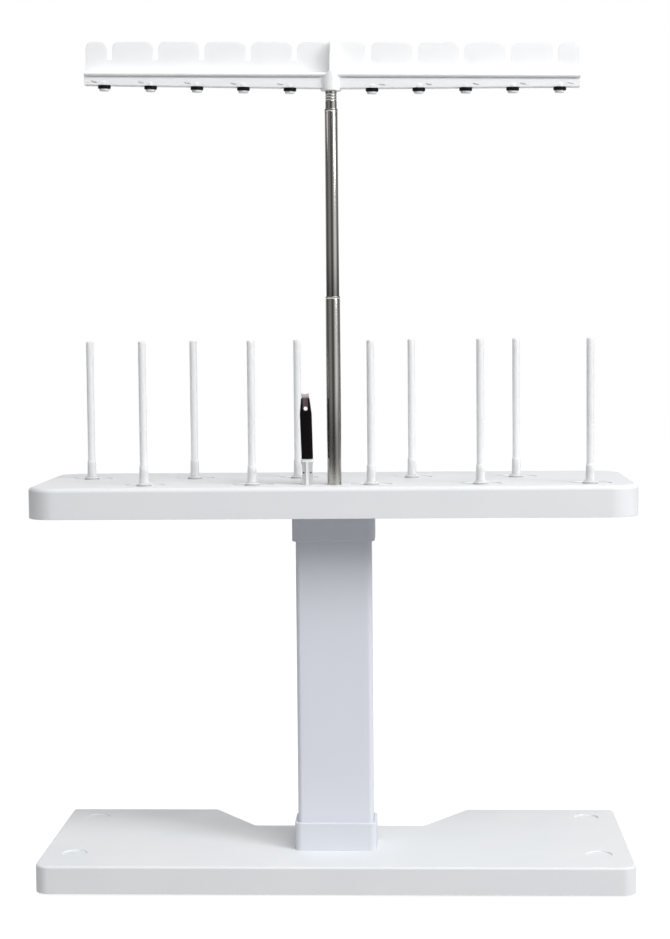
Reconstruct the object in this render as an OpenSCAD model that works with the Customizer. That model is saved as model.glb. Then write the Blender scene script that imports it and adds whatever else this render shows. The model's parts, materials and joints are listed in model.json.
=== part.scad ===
// Ten-spool thread stand: a weighted base and a square column carry a tray of spool pins, and a telescopic
// mast holds a comb-shaped thread guide above them. Millimetres. +Z is up, the front faces -Y, and the origin
// is at the centre of the base's footprint, on the floor.

/* [Base] */
// Width of the base
base_w = 505; // [470:1:600]
// Depth of the base, front to back
base_d = 196; // [184:2:240]
// Height of the base's top face above the floor
base_top = 25.5; // [22:0.5:40]
// Thickness of the base cover's walls and roof
base_wall = 3; // [2:0.5:4]
// Radius of the base's two front corners
base_corner_r = 12; // [8:1:24]
// Radius of the base's two back corners
base_back_r = 3.5; // [3:0.5:6]
// Radius along the base's top edge
base_edge_r = 2; // [1:0.5:2.5]
// Gap between the base cover and the floor
skirt_gap = 2; // [1:0.5:4]
// Width of the notch in the back edge, at its mouth
notch_mouth_w = 236; // [200:2:250]
// Width of the notch at its inner end
notch_inner_w = 153; // [130:1:170]
// How far the notch reaches in from the back edge
notch_depth = 60; // [30:1:62]
// Thickness of the steel base plate
plate_t = 3; // [2:0.5:5]
// Height of the steel base plate's underside above the floor
plate_lift = 6; // [5.5:0.5:8]
// Thickness of the ribs under the base cover
base_rib_t = 2; // [1.5:0.5:3]
// Height of the ribs under the base cover
base_rib_h = 8; // [4:0.5:10]
// Number of ribs on each side of the column
base_rib_count = 4; // [2:1:6]

/* [Feet] */
// Diameter of a rubber foot
foot_d = 20; // [16:1:24]
// Distance from a foot's centre to the end of the base
foot_end = 27.5; // [22:0.5:40]
// Distance from a front foot's centre to the front of the base
foot_front = 42; // [24:1:50]
// Distance from a back foot's centre to the back of the base
foot_back = 29; // [22:1:50]
// Diameter of the shallow dimple above each foot
dimple_d = 22; // [12:1:30]
// Depth of the dimple above each foot
dimple_depth = 1; // [0.4:0.1:1.5]

/* [Column] */
// Width of the column tube
column_w = 65; // [62:0.5:90]
// Depth of the column tube, front to back
column_d = 34; // [32:1:50]
// Wall of the column tube
column_wall = 2; // [1.5:0.25:3]
// Radius of the column tube's upright edges
column_r = 4; // [3:0.5:8]
// Distance from the front of the base to the column's axis
column_front = 71.5; // [66:0.5:90]
// Height of each collar
collar_h = 24; // [20:0.5:40]
// Wall of a collar, outside the column tube
collar_wall = 2.9; // [2:0.1:5]
// Thickness of a collar's end plate
collar_floor = 3; // [2:0.5:5]
// Radius along the open edge of a collar
collar_edge_r = 1; // [0.5:0.25:1.5]
// Diameter of the bolts that hold the collars
collar_bolt_d = 5; // [4:0.5:6]
// Spacing of the collar bolts across the column
bolt_pitch_x = 44; // [40:1:50]
// Spacing of the collar bolts along its depth
bolt_pitch_y = 14; // [12:0.5:18]
// How far a collar bolt reaches into its collar
collar_bolt_grip = 14; // [8:1:16]
// Spacing of the column screws at the back of each collar
column_screw_pitch = 20; // [16:1:24]

/* [Tray] */
// Height of the tray's underside above the floor
tray_bottom = 317; // [200:1:420]
// How far the tray's front lies behind the base's front
tray_setback = 6; // [0:1:12]
// Width of the tray
tray_w = 512; // [500:2:600]
// Depth of the tray, front to back
tray_d = 177; // [160:1:240]
// Height of the tray
tray_h = 26.5; // [26:0.5:40]
// Thickness of the tray shell's walls and top
tray_wall = 3; // [2:0.5:4]
// Radius of the tray's corners
tray_corner_r = 25; // [12:1:40]
// Radius along the tray's top edge
tray_edge_r = 4; // [1:0.5:5]
// Thickness of the tray floor
tray_floor_t = 2.5; // [2.5:0.5:4]
// Gap between the tray floor and the tray shell
tray_floor_gap = 0.4; // [0.2:0.1:1]
// Width of the steel bracket inside the tray
bracket_w = 150; // [100:2:160]
// Thickness of the steel bracket inside the tray
bracket_t = 3; // [2:0.5:4]
// Distance from a tray screw to the outside of the tray
tray_screw_inset = 16; // [14:0.5:20]
// Distance from the middle to the inner tray screws
tray_screw_x = 96; // [94:1:100]

/* [Spool pins] */
// Height of a spool pin above the tray
pin_h = 121.3; // [60:0.1:180]
// Diameter of a spool pin
pin_d = 6.4; // [5.6:0.1:9]
// Height of the boss at the foot of a spool pin
pin_boss_h = 15.8; // [8:0.1:30]
// Diameter of the boss at its top
pin_boss_top_d = 7.4; // [7:0.1:10]
// Diameter of the boss at its foot
pin_boss_foot_d = 8.3; // [8:0.1:12]
// Diameter of the flange under the boss
pin_flange_d = 12.6; // [12:0.1:20]
// Thickness of the flange
pin_flange_t = 1.4; // [1:0.1:3]
// Diameter of the grey ring under the flange
ring_d = 13.8; // [13:0.1:22]
// Thickness of the grey ring
ring_t = 0.8; // [0.6:0.1:3]
// Distance from the mast to the nearest spool pin, sideways
pin_first_x = 33.2; // [26:0.1:40]
// Sideways step from a pin to the next one in the other row
pin_step_x = 34.2; // [24:0.1:40]
// Sideways distance from the outermost spool pins to the tray's ends
pin_end = 39.2; // [30:0.1:50]
// Distance from the front of the tray to the front row
front_row = 32; // [30:1:60]
// Distance from the front of the tray to the back row
back_row = 111; // [90:1:140]
// Diameter of the shallow dish around each spool pin
dish_d = 36; // [24:1:44]
// Depth of the dish around each spool pin
dish_depth = 0.8; // [0.3:0.1:1.2]

/* [Mast] */
// How far the mast stands to the right of the middle
mast_x = 2.4; // [0:0.1:4]
// Distance from the front of the tray to the mast's axis
mast_front = 26; // [24:1:34]
// Diameter of the lower tube
lower_d = 12; // [11.8:0.1:13.8]
// Diameter of the middle tube
middle_d = 10.8; // [10.6:0.1:10.8]
// Diameter of the upper tube
upper_d = 9.6; // [9.2:0.1:9.6]
// Wall of the mast tubes
tube_wall = 0.3; // [0.25:0.05:0.3]
// Height of the lower tube's top above the tray
lower_reach = 157.4; // [120:0.1:200]
// How far the middle tube stands out of the lower tube
middle_reach = 154.5; // [120:0.1:200]
// How far the upper tube stands out of the middle tube, up to the guide's hub
upper_reach = 14.9; // [14.6:0.1:60]
// Length of the rolled-in lip at the top of the lower and middle tubes
lip_l = 2; // [1:0.5:4]
// Length of the slide sleeve at the foot of the middle and upper tubes
sleeve_l = 16; // [8:1:24]
// Length of the upper tube, hidden part included
upper_l = 186.5; // [180:0.5:187]
// Number of rolled grooves under the guide's hub
groove_count = 3; // [1:1:3]
// Distance between the rolled grooves
groove_pitch = 2.2; // [1.6:0.1:2.4]
// Height of the stop plug in the foot of the lower tube
stop_plug_h = 6; // [3:0.5:8]

/* [Thread guide] */
// Half the length of the thread guide
guide_half = 205; // [196:0.1:240]
// Distance from the mast to the nearest slot
slot_first = 30.6; // [26:0.1:34]
// Distance from the outermost slots to the guide's ends
slot_end = 19.8; // [16:0.1:30]
// Width of a slot
slot_w = 4.8; // [4.6:0.1:6]
// Depth of a slot
slot_depth = 15.3; // [10:0.1:20]
// Radius of the comb's teeth
tooth_r = 5.7; // [2:0.1:6.5]
// Thickness of the comb
comb_t = 3; // [2:0.5:4]
// Height of the comb's top above the hub's underside
comb_top = 40.4; // [36:0.1:50]
// Height of the ledge's underside above the hub's underside
ledge_z = 11.2; // [10.5:0.1:14]
// Thickness of the ledge
ledge_t = 3.3; // [2.5:0.1:4]
// How far the ledge stands out in front of the mast's axis
ledge_front = 6; // [5:0.1:8]
// How far the beam stands out in front of the mast's axis
beam_front = 4.2; // [2:0.1:5]
// How far the back of the guide lies behind the mast's axis
guide_back = 6.7; // [6.5:0.1:9]
// Height of the beam's underside at the hub, above the hub's underside
beam_low = 2; // [1:0.1:4]
// Height of the beam's underside at its ends, above the hub's underside
beam_high = 4; // [2:0.1:7]
// Diameter of the hub
hub_d = 17; // [16.5:0.1:20]
// Depth of the hub's bore
hub_depth = 13.9; // [13:0.1:15]
// Thickness of the rib in front of the comb
rib_t = 2.4; // [2:0.1:4]
// Distance from a slot to the disc beside it, away from the mast
disc_offset = 3.4; // [2:0.1:5]
// Diameter of a thread disc
disc_d = 10.6; // [9:0.1:12]
// Thickness of a thread disc
disc_t = 2.9; // [2:0.1:4]
// Diameter of the cap under a thread disc
cap_d = 10; // [8:0.2:12]
// Thickness of the cap under a thread disc
cap_t = 1.7; // [1.2:0.1:3]
// How far the guide turns each way
guide_swing = 90; // [45:5:110]

/* [Hand tool] */
// Distance from the mast to the hand tool, to the left
tool_left = 22.6; // [18:0.1:24]
// Width of the tool's holder
holder_w = 10.4; // [10:0.1:14]
// Depth of the tool's holder, front to back
holder_d = 8.8; // [8:0.1:12]
// Height of the tool's holder
holder_h = 21.6; // [16:0.1:30]
// Length of the tool's handle
handle_l = 51.5; // [40:0.5:80]
// Greatest width of the handle
handle_w = 10; // [8:0.1:12]
// Width of the handle at its top
handle_top_w = 6.8; // [6:0.1:8]
// Thickness of the handle, front to back
handle_t = 6.8; // [5:0.1:9]
// Diameter of the tool's steel shank
shank_d = 3; // [2.5:0.1:3.5]
// Length of the shank below the handle
shank_l = 14; // [8:0.5:16]

/* [Fits and fasteners] */
// Running gap around what turns or slides in a bore, on the radius
run_gap = 0.08; // [0.05:0.01:0.1]
// Gap around a fixed piece in its seat, each side
seat_gap = 0.2; // [0.1:0.05:0.4]
// Gap around a screw in the thread that holds it, on the radius
thread_gap = 0.05; // [0.02:0.01:0.1]
// Gap around a screw in a plain hole, on the radius
hole_gap = 0.3; // [0.2:0.05:0.5]
// Diameter of the small screws
screw_d = 4; // [3.5:0.1:4]
// Diameter of a small screw's head
head_d = 7.6; // [7:0.1:8]
// Height of a small screw's head
head_h = 2.2; // [1.8:0.1:2.4]

/* [Hidden] */
$fn = 64;
fine = 96;
eps = 0.01;
// How far a cut runs past the face it opens
over = 1;
// Screw heads: how far they taper, and the depth and width of their sockets, as shares of the head
head_taper = 0.8;
socket_depth = 0.6;
socket_width = 0.42;
hex_sides = 6;
front_y = -base_d / 2;

// Base levels and the places of its screws and feet
roof_z = base_top - base_wall;
plate_top = plate_lift + plate_t;
notch_slope = (notch_mouth_w - notch_inner_w) / 2 / notch_depth;
foot_places = [for (sx = [-1, 1], y = [front_y + foot_front, base_d / 2 - foot_back])
    [sx * (base_w / 2 - foot_end), y]];
foot_boss_d = 3 * screw_d;
foot_head_gap = 1;
foot_recess = head_h + 1;
foot_lip_h = 1;
foot_taper = 1;
foot_thread_l = 9;
base_thread_l = 9;
base_screw_x = notch_mouth_w / 2 + 24;
base_screw_inset = 16;
base_screw_places = concat(
    [for (sx = [-1, 0, 1]) [sx * base_screw_x, front_y + base_screw_inset]],
    [for (sx = [-1, 1]) [sx * base_screw_x, base_d / 2 - base_screw_inset]],
    [[0, base_d / 2 - notch_depth - base_screw_inset]]);
base_boss_d = 2.5 * screw_d;
rib_zone = [column_w / 2 + 24, base_w / 2 - foot_end - foot_boss_d];
function base_rib_x(k) = rib_zone[0] + (rib_zone[1] - rib_zone[0]) * (k - 1) / (base_rib_count - 1);

// Column levels
column_y = front_y + column_front;
collar_w = column_w + 2 * collar_wall;
collar_d = column_d + 2 * collar_wall;
collar_r = column_r + collar_wall - 1;
column_low = base_top + collar_floor;
column_high = tray_bottom - collar_floor;
spigot_w = column_w - 2 * column_wall - 2 * seat_gap;
spigot_d = column_d - 2 * column_wall - 2 * seat_gap;
spigot_r = max(column_r - column_wall - seat_gap, 0.5);
spigot_top = collar_h - 2;
column_grip = 6;
// Gap beyond the tip of a screw in a blind hole
tip_gap = 1;
column_screw_z = collar_floor + (collar_h - collar_floor) / 2;
column_screw_x = [-column_screw_pitch / 2, column_screw_pitch / 2];
bolt_places = [for (sx = [-1, 1], sy = [-1, 1])
    [sx * bolt_pitch_x / 2, column_y + sy * bolt_pitch_y / 2]];
bolt_head_d = 1.7 * collar_bolt_d;
bolt_head_h = 0.8 * collar_bolt_d;
bolt_boss_d = 2.6 * collar_bolt_d;

// Tray levels and the places of its screws
tray_top = tray_bottom + tray_h;
tray_front = front_y + tray_setback;
tray_y = tray_front + tray_d / 2;
tray_roof = tray_top - tray_wall;
floor_top = tray_bottom + tray_floor_t;
bracket_top = floor_top + bracket_t;
dish_z = tray_top - dish_depth;
tray_screw_places = [for (x = [tray_screw_x, tray_w / 2 - tray_screw_inset], sx = [-1, 1], sy = [-1, 1])
    [sx * x, tray_y + sy * (tray_d / 2 - tray_screw_inset)]];
tray_boss_d = 2.25 * screw_d;
tray_thread_l = 10;

// Spool pins, numbered from left to right; they zigzag between the back row and the front row
pin_count = 10;
pin_row_pitch = (tray_w / 2 - pin_end - pin_first_x) / floor(pin_count / 4);
function right_pin_x(k) = pin_first_x + pin_row_pitch * floor(k / 2) + pin_step_x * (k % 2);
function pin_x(i) = i < pin_count / 2 ? -right_pin_x(pin_count / 2 - 1 - i) : right_pin_x(i - pin_count / 2);
function pin_y(i) = tray_front + (i % 2 == 0 ? back_row : front_row);
pin_places = [for (i = [0:pin_count - 1]) [pin_x(i), pin_y(i)]];
pin_foot_z = dish_z + ring_t;
pin_thread_l = 12;
pin_seat_d = 3.5 * screw_d;
pin_screw_z = tray_roof - 5;
pin_lip_r = (pin_boss_top_d - pin_d) / 2;
pin_flare_r = 0.3 * (pin_flange_d - pin_boss_foot_d);
arc_steps = 6;

// Mast levels
mast_y = tray_front + mast_front;
clamp_w = lower_d + 20;
clamp_d = lower_d + 12;
clamp_screw_x = lower_d / 2 + 5;
clamp_floor = 3;
clamp_screw_l = 10;
clamp_screw_places = [for (s = [-1, 1]) [mast_x + s * clamp_screw_x, mast_y]];
set_screw_z = (tray_roof - bracket_top) / 2 + 1;
set_socket_l = 2;
bracket_margin = 6;
bracket_r = 8;
bracket_front = mast_y - clamp_d / 2 - bracket_margin;
bracket_back = column_y + bolt_pitch_y / 2 + bolt_head_d + bracket_margin;
bracket_d = bracket_back - bracket_front;
bracket_y = (bracket_back + bracket_front) / 2;
lower_bottom = bracket_top + clamp_floor;
lower_top = tray_top + lower_reach;
middle_top = lower_top + middle_reach;
hub_z = middle_top + upper_reach;
stop_gap = 0.3;
middle_bottom = lower_top - lip_l - stop_gap - sleeve_l;
upper_top = hub_z + hub_depth - stop_gap;
upper_bottom = upper_top - upper_l;
upper_wall = tube_wall + 0.1;
groove_depth = 0.25;
groove_low = 3.4;

// The guide's screw turns in a window of the upper tube
window_z = 6.8;
window_tip_d = 2.6;
window_half = guide_swing + asin(window_tip_d / (upper_d - 2 * upper_wall)) + 1;
guide_screw_d = 3;
guide_socket_l = 1.5;

// Guide places, in the guide's own frame
slot_count = 10;
slot_pitch = (guide_half - slot_end - slot_first) / (slot_count / 2 - 1);
function slot_x(i) = i < slot_count / 2
    ? -(slot_first + slot_pitch * (slot_count / 2 - 1 - i))
    : slot_first + slot_pitch * (i - slot_count / 2);
function disc_x(i) = slot_x(i) + sign(slot_x(i)) * disc_offset;
function beam_z(x) = beam_low + (beam_high - beam_low) * (abs(x) - hub_d / 2) / (guide_half - hub_d / 2);
comb_foot = ledge_z + ledge_t;
stem_d = 2.4;
seat_d = 4 * stem_d;
seat_h = 2.4;
seat_round = 1;
function disc_z(i) = beam_z(abs(disc_x(i)) - disc_d / 2);
stem_l = 4;
slit_x = 8;
slit_l = 4.8;
slit_t = 0.9;
slit_cut = 2;
slit_tilt = 24;
slit_z = 1.6;
hub_shoulder = 7.7;
hub_neck = [4.1, 12.2];
hub_tip = 16.3;
gusset_top = 4;

// Hand tool
tool_x = mast_x - tool_left;
holder_seat_d = 2.2 * screw_d;
holder_r = 2;
holder_waist = 2.2;
holder_rim_h = 2.2;
holder_flare = 3.4;
holder_ridge = 2.2;
holder_ridge_t = 0.8;
holder_hole_x = 3;
holder_hole_z = 10.5;
holder_hole_d = 1.4;
holder_hole_l = 1.5;
holder_grip = 5;
holder_screw_d = 3;
handle_z = tray_top + holder_h + stop_gap;
handle_foot_w = 9.5;
handle_neck = 0.72 * handle_l;
handle_round = 1;
shank_in = 16;
handle_corner = 0.42 * handle_t;
tongue_w = 4.8;
tongue_t = 1.4;
tongue_l = 11.8;
tongue_head_w = 6.4;
tongue_head_h = 3.6;
tongue_head_t = 2.2;
tongue_dip_r = 6;
tongue_dip = 0.9;
tongue_eye_d = 3.2;

// ---- Shared shapes ----

// A flat rectangle with round corners, centred on the origin
module rounded_rect(w, d, r) {
    square([w - 2 * r, d], center = true);
    square([w, d - 2 * r], center = true);
    for (sx = [-1, 1], sy = [-1, 1])
        translate([sx * (w / 2 - r), sy * (d / 2 - r)]) circle(r);
}

// The profile of what is cut away to round a top edge at the origin, where the solid lies on +X
module edge_profile(r) {
    difference() {
        translate([-over, -r]) square(r + over);
        translate([r, -r]) circle(r);
    }
}

// Cuts a straight top edge along +X round, where the solid lies on +Y
module edge_cutter(length, r) {
    rotate([90, 0, 90]) linear_extrude(length) edge_profile(r);
}

// Cuts the top edge of a round corner of radius corner_r, centred on the origin, in the +X +Y quarter
module corner_cutter(corner_r, r) {
    rotate_extrude(angle = 90) translate([corner_r, 0]) mirror([1, 0]) edge_profile(r);
}

// Cuts the whole top edge of a rounded_rect(w, d, corner_r) round
module rim_cutters(w, d, corner_r, r) {
    for (s = [0, 1]) rotate(180 * s) {
        translate([-w / 2 + corner_r, -d / 2]) edge_cutter(w - 2 * corner_r, r);
        translate([w / 2, -d / 2 + corner_r]) rotate(90) edge_cutter(d - 2 * corner_r, r);
        translate([w / 2 - corner_r, d / 2 - corner_r]) corner_cutter(corner_r, r);
        translate([w / 2 - corner_r, -d / 2 + corner_r]) rotate(-90) corner_cutter(corner_r, r);
    }
}

// An upright block on z = 0 with round corners and a rounded top edge
module soft_block(w, d, h, corner_r, r) {
    difference() {
        linear_extrude(h) rounded_rect(w, d, corner_r);
        translate([0, 0, h]) rim_cutters(w, d, corner_r, r);
    }
}

// A pan-head screw, its head's seat on z = 0, its shank up
module pan_screw(d, l, hd, hh) {
    cylinder(l, d = d);
    difference() {
        translate([0, 0, -hh]) cylinder(hh, d1 = head_taper * hd, d2 = hd);
        translate([0, 0, -hh - eps]) cylinder(socket_depth * hh, d = socket_width * hd, $fn = hex_sides);
    }
}

// A countersunk screw, its head's flat face on z = 0, its shank up
module flat_screw(d, l, hd, hh) {
    difference() {
        union() {
            cylinder(hh, d1 = hd, d2 = d);
            cylinder(l, d = d);
        }
        translate([0, 0, -eps]) cylinder(socket_depth * hh, d = socket_width * hd, $fn = hex_sides);
    }
}

// The plain hole for a countersunk screw through a plate, the face it enters on z = 0
module flat_screw_hole(d, l, hd, hh, gap) {
    translate([0, 0, -eps]) cylinder(l + 2 * eps, d = d + 2 * gap);
    translate([0, 0, -eps]) cylinder(hh + gap, d1 = hd + 2 * gap, d2 = d);
}

// Children copied to each place of a list of [x, y]
module at(places) {
    for (p = places) translate(p) children();
}

// ---- Base ----

// The base's outline, drawn in by the given amount
module base_outline(inset = 0) {
    w = base_w - 2 * inset;
    d = base_d - 2 * inset;
    front_r = base_corner_r - inset;
    back_r = max(base_back_r - inset, 0.1);
    widening = inset * (sqrt(1 + pow(notch_slope, 2)) - notch_slope);
    inner = notch_inner_w / 2 + widening;
    deep = base_d / 2 - notch_depth - inset;
    reach = notch_depth + inset + over;
    difference() {
        union() {
            for (s = [-1, 1]) {
                translate([s * (w / 2 - front_r), -d / 2 + front_r]) circle(front_r);
                translate([s * (w / 2 - back_r), d / 2 - back_r]) circle(back_r);
            }
            translate([-w / 2 + front_r, -d / 2]) square([w - 2 * front_r, d - back_r]);
            translate([-w / 2, -d / 2 + front_r]) square([w, d - front_r - back_r]);
            translate([-w / 2 + back_r, 0]) square([w - 2 * back_r, d / 2]);
        }
        polygon([[-inner, deep], [inner, deep],
            [inner + reach * notch_slope, deep + reach], [-inner - reach * notch_slope, deep + reach]]);
    }
}

// Cuts the base cover's outer top edge round, up to the notch
module base_rim_cutters() {
    r = base_edge_r;
    translate([-base_w / 2 + base_corner_r, front_y]) edge_cutter(base_w - 2 * base_corner_r, r);
    for (s = [0, 1]) mirror([s, 0, 0]) {
        translate([base_w / 2, front_y + base_corner_r]) rotate(90)
            edge_cutter(base_d - base_corner_r - base_back_r, r);
        translate([base_w / 2 - base_corner_r, front_y + base_corner_r]) rotate(-90)
            corner_cutter(base_corner_r, r);
        translate([base_w / 2 - base_back_r, base_d / 2 - base_back_r]) corner_cutter(base_back_r, r);
        translate([base_w / 2 - base_back_r, base_d / 2]) rotate(180)
            edge_cutter((base_w - notch_mouth_w) / 2 - base_back_r + 2 * r, r);
    }
}

module base_cover() {
    color("whitesmoke") difference() {
        union() {
            difference() {
                translate([0, 0, skirt_gap]) linear_extrude(base_top - skirt_gap) base_outline();
                translate([0, 0, base_top]) base_rim_cutters();
                translate([0, 0, -eps]) linear_extrude(roof_z + eps) base_outline(base_wall);
            }
            translate([0, 0, plate_top]) {
                at(foot_places) cylinder(roof_z - plate_top, d = foot_boss_d);
                at(base_screw_places) cylinder(roof_z - plate_top, d = base_boss_d);
                at(bolt_places) cylinder(roof_z - plate_top, d = bolt_boss_d);
            }
            // Ribs across the cover, between the column and its ends
            intersection() {
                for (k = [1:base_rib_count], s = [-1, 1])
                    translate([s * base_rib_x(k) - base_rib_t / 2, front_y, roof_z - base_rib_h])
                        cube([base_rib_t, base_d, base_rib_h]);
                linear_extrude(base_top) base_outline(base_wall - seat_gap);
            }
        }
        translate([0, 0, base_top - dimple_depth]) at(foot_places)
            cylinder(dimple_depth + over, d = dimple_d);
        translate([0, 0, plate_top - eps]) {
            at(foot_places) cylinder(foot_thread_l + over, d = screw_d + 2 * thread_gap);
            at(base_screw_places) cylinder(base_thread_l + over, d = screw_d + 2 * thread_gap);
            at(bolt_places) cylinder(base_top, d = collar_bolt_d + 2 * hole_gap);
        }
    }
}

module base_plate() {
    color("dimgray") translate([0, 0, plate_lift]) difference() {
        linear_extrude(plate_t) base_outline(base_wall + seat_gap);
        translate([0, 0, -over]) {
            at(concat(foot_places, base_screw_places))
                cylinder(plate_t + 2 * over, d = screw_d + 2 * hole_gap);
            at(bolt_places) cylinder(plate_t + 2 * over, d = collar_bolt_d + 2 * hole_gap);
        }
    }
}

module rubber_feet() {
    color("dimgray") at(foot_places) difference() {
        union() {
            cylinder(foot_lip_h, d1 = foot_d - foot_taper, d2 = foot_d);
            translate([0, 0, foot_lip_h])
                cylinder(plate_lift - foot_lip_h, d1 = foot_d, d2 = foot_d - 2 * foot_taper);
        }
        translate([0, 0, -over]) cylinder(foot_recess + over, d = head_d + 2 * foot_head_gap);
        translate([0, 0, -over]) cylinder(plate_lift + 2 * over, d = screw_d + 2 * hole_gap);
    }
}

module foot_screws() {
    color("silver") translate([0, 0, foot_recess]) at(foot_places)
        pan_screw(screw_d, plate_top - foot_recess + foot_thread_l, head_d, head_h);
}

module base_screws() {
    color("silver") translate([0, 0, plate_lift]) at(base_screw_places)
        pan_screw(screw_d, plate_t + base_thread_l, head_d, head_h);
}

// ---- Column ----

// A collar for the lower end of the column tube, its end plate on z = 0
module collar() {
    difference() {
        soft_block(collar_w, collar_d, collar_h, collar_r, collar_edge_r);
        translate([0, 0, collar_floor])
            linear_extrude(collar_h) difference() {
                rounded_rect(column_w + 2 * seat_gap, column_d + 2 * seat_gap, column_r + seat_gap);
                rounded_rect(spigot_w, spigot_d, spigot_r);
            }
        // The spigot inside the tube is lower than the collar's wall
        translate([-spigot_w / 2, -spigot_d / 2, spigot_top]) cube([spigot_w, spigot_d, collar_h]);
        translate([0, -column_y, -eps]) at(bolt_places)
            cylinder(collar_bolt_grip + over, d = collar_bolt_d + 2 * thread_gap);
        at([for (x = column_screw_x) [x, spigot_d / 2 - column_grip]])
            translate([0, 0, column_screw_z]) rotate([-90, 0, 0])
                cylinder(collar_d, d = screw_d + 2 * thread_gap);
    }
}

module lower_collar() {
    color("whitesmoke") translate([0, column_y, base_top]) collar();
}

module upper_collar() {
    color("whitesmoke") translate([0, column_y, tray_bottom]) mirror([0, 0, 1]) collar();
}

module column_tube() {
    color("whitesmoke") translate([0, column_y, column_low]) difference() {
        linear_extrude(column_high - column_low) difference() {
            rounded_rect(column_w, column_d, column_r);
            rounded_rect(column_w - 2 * column_wall, column_d - 2 * column_wall, column_r - column_wall);
        }
        for (x = column_screw_x, z = [column_screw_z - collar_floor,
                column_high - column_low - column_screw_z + collar_floor])
            translate([x, 0, z]) rotate([-90, 0, 0]) cylinder(column_d, d = screw_d + 2 * hole_gap);
    }
}

module column_screws() {
    color("silver") for (x = column_screw_x, z = [base_top + column_screw_z, tray_bottom - column_screw_z])
        translate([x, column_y + collar_d / 2, z]) rotate([90, 0, 0])
            pan_screw(screw_d, collar_d / 2 - spigot_d / 2 + column_grip - tip_gap, head_d, head_h);
}

module lower_collar_bolts() {
    color("silver") translate([0, 0, plate_lift]) at(bolt_places)
        pan_screw(collar_bolt_d, base_top - plate_lift + collar_bolt_grip, bolt_head_d, bolt_head_h);
}

module upper_collar_bolts() {
    color("silver") translate([0, 0, bracket_top]) mirror([0, 0, 1]) at(bolt_places)
        pan_screw(collar_bolt_d, bracket_top - tray_bottom + collar_bolt_grip, bolt_head_d, bolt_head_h);
}

// ---- Tray ----

module tray_bracket() {
    color("dimgray") translate([0, 0, floor_top]) difference() {
        translate([0, bracket_y]) linear_extrude(bracket_t) rounded_rect(bracket_w, bracket_d, bracket_r);
        translate([0, 0, -over]) {
            at(bolt_places) cylinder(bracket_t + 2 * over, d = collar_bolt_d + 2 * hole_gap);
            at(clamp_screw_places) cylinder(bracket_t + 2 * over, d = screw_d + 2 * hole_gap);
        }
    }
}

module tray_floor() {
    inset = 2 * (tray_wall + tray_floor_gap);
    color("whitesmoke") translate([0, 0, tray_bottom]) difference() {
        translate([0, tray_y]) linear_extrude(tray_floor_t)
            rounded_rect(tray_w - inset, tray_d - inset, tray_corner_r - inset / 2);
        at(concat(tray_screw_places, clamp_screw_places))
            flat_screw_hole(screw_d, tray_floor_t, head_d, head_h, hole_gap);
        translate([0, 0, -over]) at(bolt_places)
            cylinder(tray_floor_t + 2 * over, d = collar_bolt_d + 2 * hole_gap);
    }
}

module tray_shell() {
    color("whitesmoke") difference() {
        union() {
            translate([0, tray_y, tray_bottom]) difference() {
                soft_block(tray_w, tray_d, tray_h, tray_corner_r, tray_edge_r);
                translate([0, 0, -over]) linear_extrude(tray_h - tray_wall + over)
                    rounded_rect(tray_w - 2 * tray_wall, tray_d - 2 * tray_wall, tray_corner_r - tray_wall);
            }
            translate([0, 0, floor_top]) at(tray_screw_places)
                cylinder(tray_roof - floor_top, d = tray_boss_d);
            translate([0, 0, pin_screw_z]) at(pin_places) cylinder(tray_roof - pin_screw_z, d = pin_seat_d);
            translate([tool_x, mast_y, pin_screw_z]) cylinder(tray_roof - pin_screw_z, d = holder_seat_d);
        }
        translate([0, 0, dish_z]) at(pin_places) cylinder(dish_depth + over, d = dish_d);
        translate([0, 0, floor_top - over]) at(tray_screw_places)
            cylinder(tray_thread_l + 2 * over, d = screw_d + 2 * thread_gap);
        translate([0, 0, pin_screw_z - over]) {
            at(pin_places) cylinder(tray_h, d = screw_d + 2 * hole_gap);
            translate([tool_x, mast_y]) cylinder(tray_h, d = screw_d + 2 * hole_gap);
        }
        translate([mast_x, mast_y, tray_roof - over])
            cylinder(tray_wall + 2 * over, d = lower_d + 2 * hole_gap);
    }
}

module tray_screws() {
    color("silver") translate([0, 0, tray_bottom]) at(tray_screw_places)
        flat_screw(screw_d, tray_floor_t + tray_thread_l, head_d, head_h);
}

// ---- Spool pins ----

// Points along an arc about c, from angle a0 to angle a1
function arc(c, r, a0, a1) = [for (i = [0:arc_steps])
    let (a = a0 + (a1 - a0) * i / arc_steps) c + r * [cos(a), sin(a)]];

module spool_pin(i) {
    pin_l = pin_h + tray_top - pin_foot_z;
    boss_l = pin_boss_h + tray_top - pin_foot_z;
    flange_r = pin_flange_t / 2;
    color("white") translate([pin_x(i), pin_y(i), pin_foot_z]) difference() {
        rotate_extrude($fn = fine) polygon(concat(
            [[0, 0]],
            arc([pin_flange_d / 2 - flange_r, flange_r], flange_r, -90, 90),
            arc([pin_boss_foot_d / 2 + pin_flare_r, pin_flange_t + pin_flare_r], pin_flare_r, 270, 180),
            arc([pin_boss_top_d / 2 - pin_lip_r, boss_l - pin_lip_r], pin_lip_r, 0, 90),
            arc([0, pin_l - pin_d / 2], pin_d / 2, 0, 90)));
        translate([0, 0, -over]) cylinder(pin_thread_l + 2 * over, d = screw_d + 2 * thread_gap);
    }
}

module spool_pin_1() { spool_pin(0); }
module spool_pin_2() { spool_pin(1); }
module spool_pin_3() { spool_pin(2); }
module spool_pin_4() { spool_pin(3); }
module spool_pin_5() { spool_pin(4); }
module spool_pin_6() { spool_pin(5); }
module spool_pin_7() { spool_pin(6); }
module spool_pin_8() { spool_pin(7); }
module spool_pin_9() { spool_pin(8); }
module spool_pin_10() { spool_pin(9); }

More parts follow.
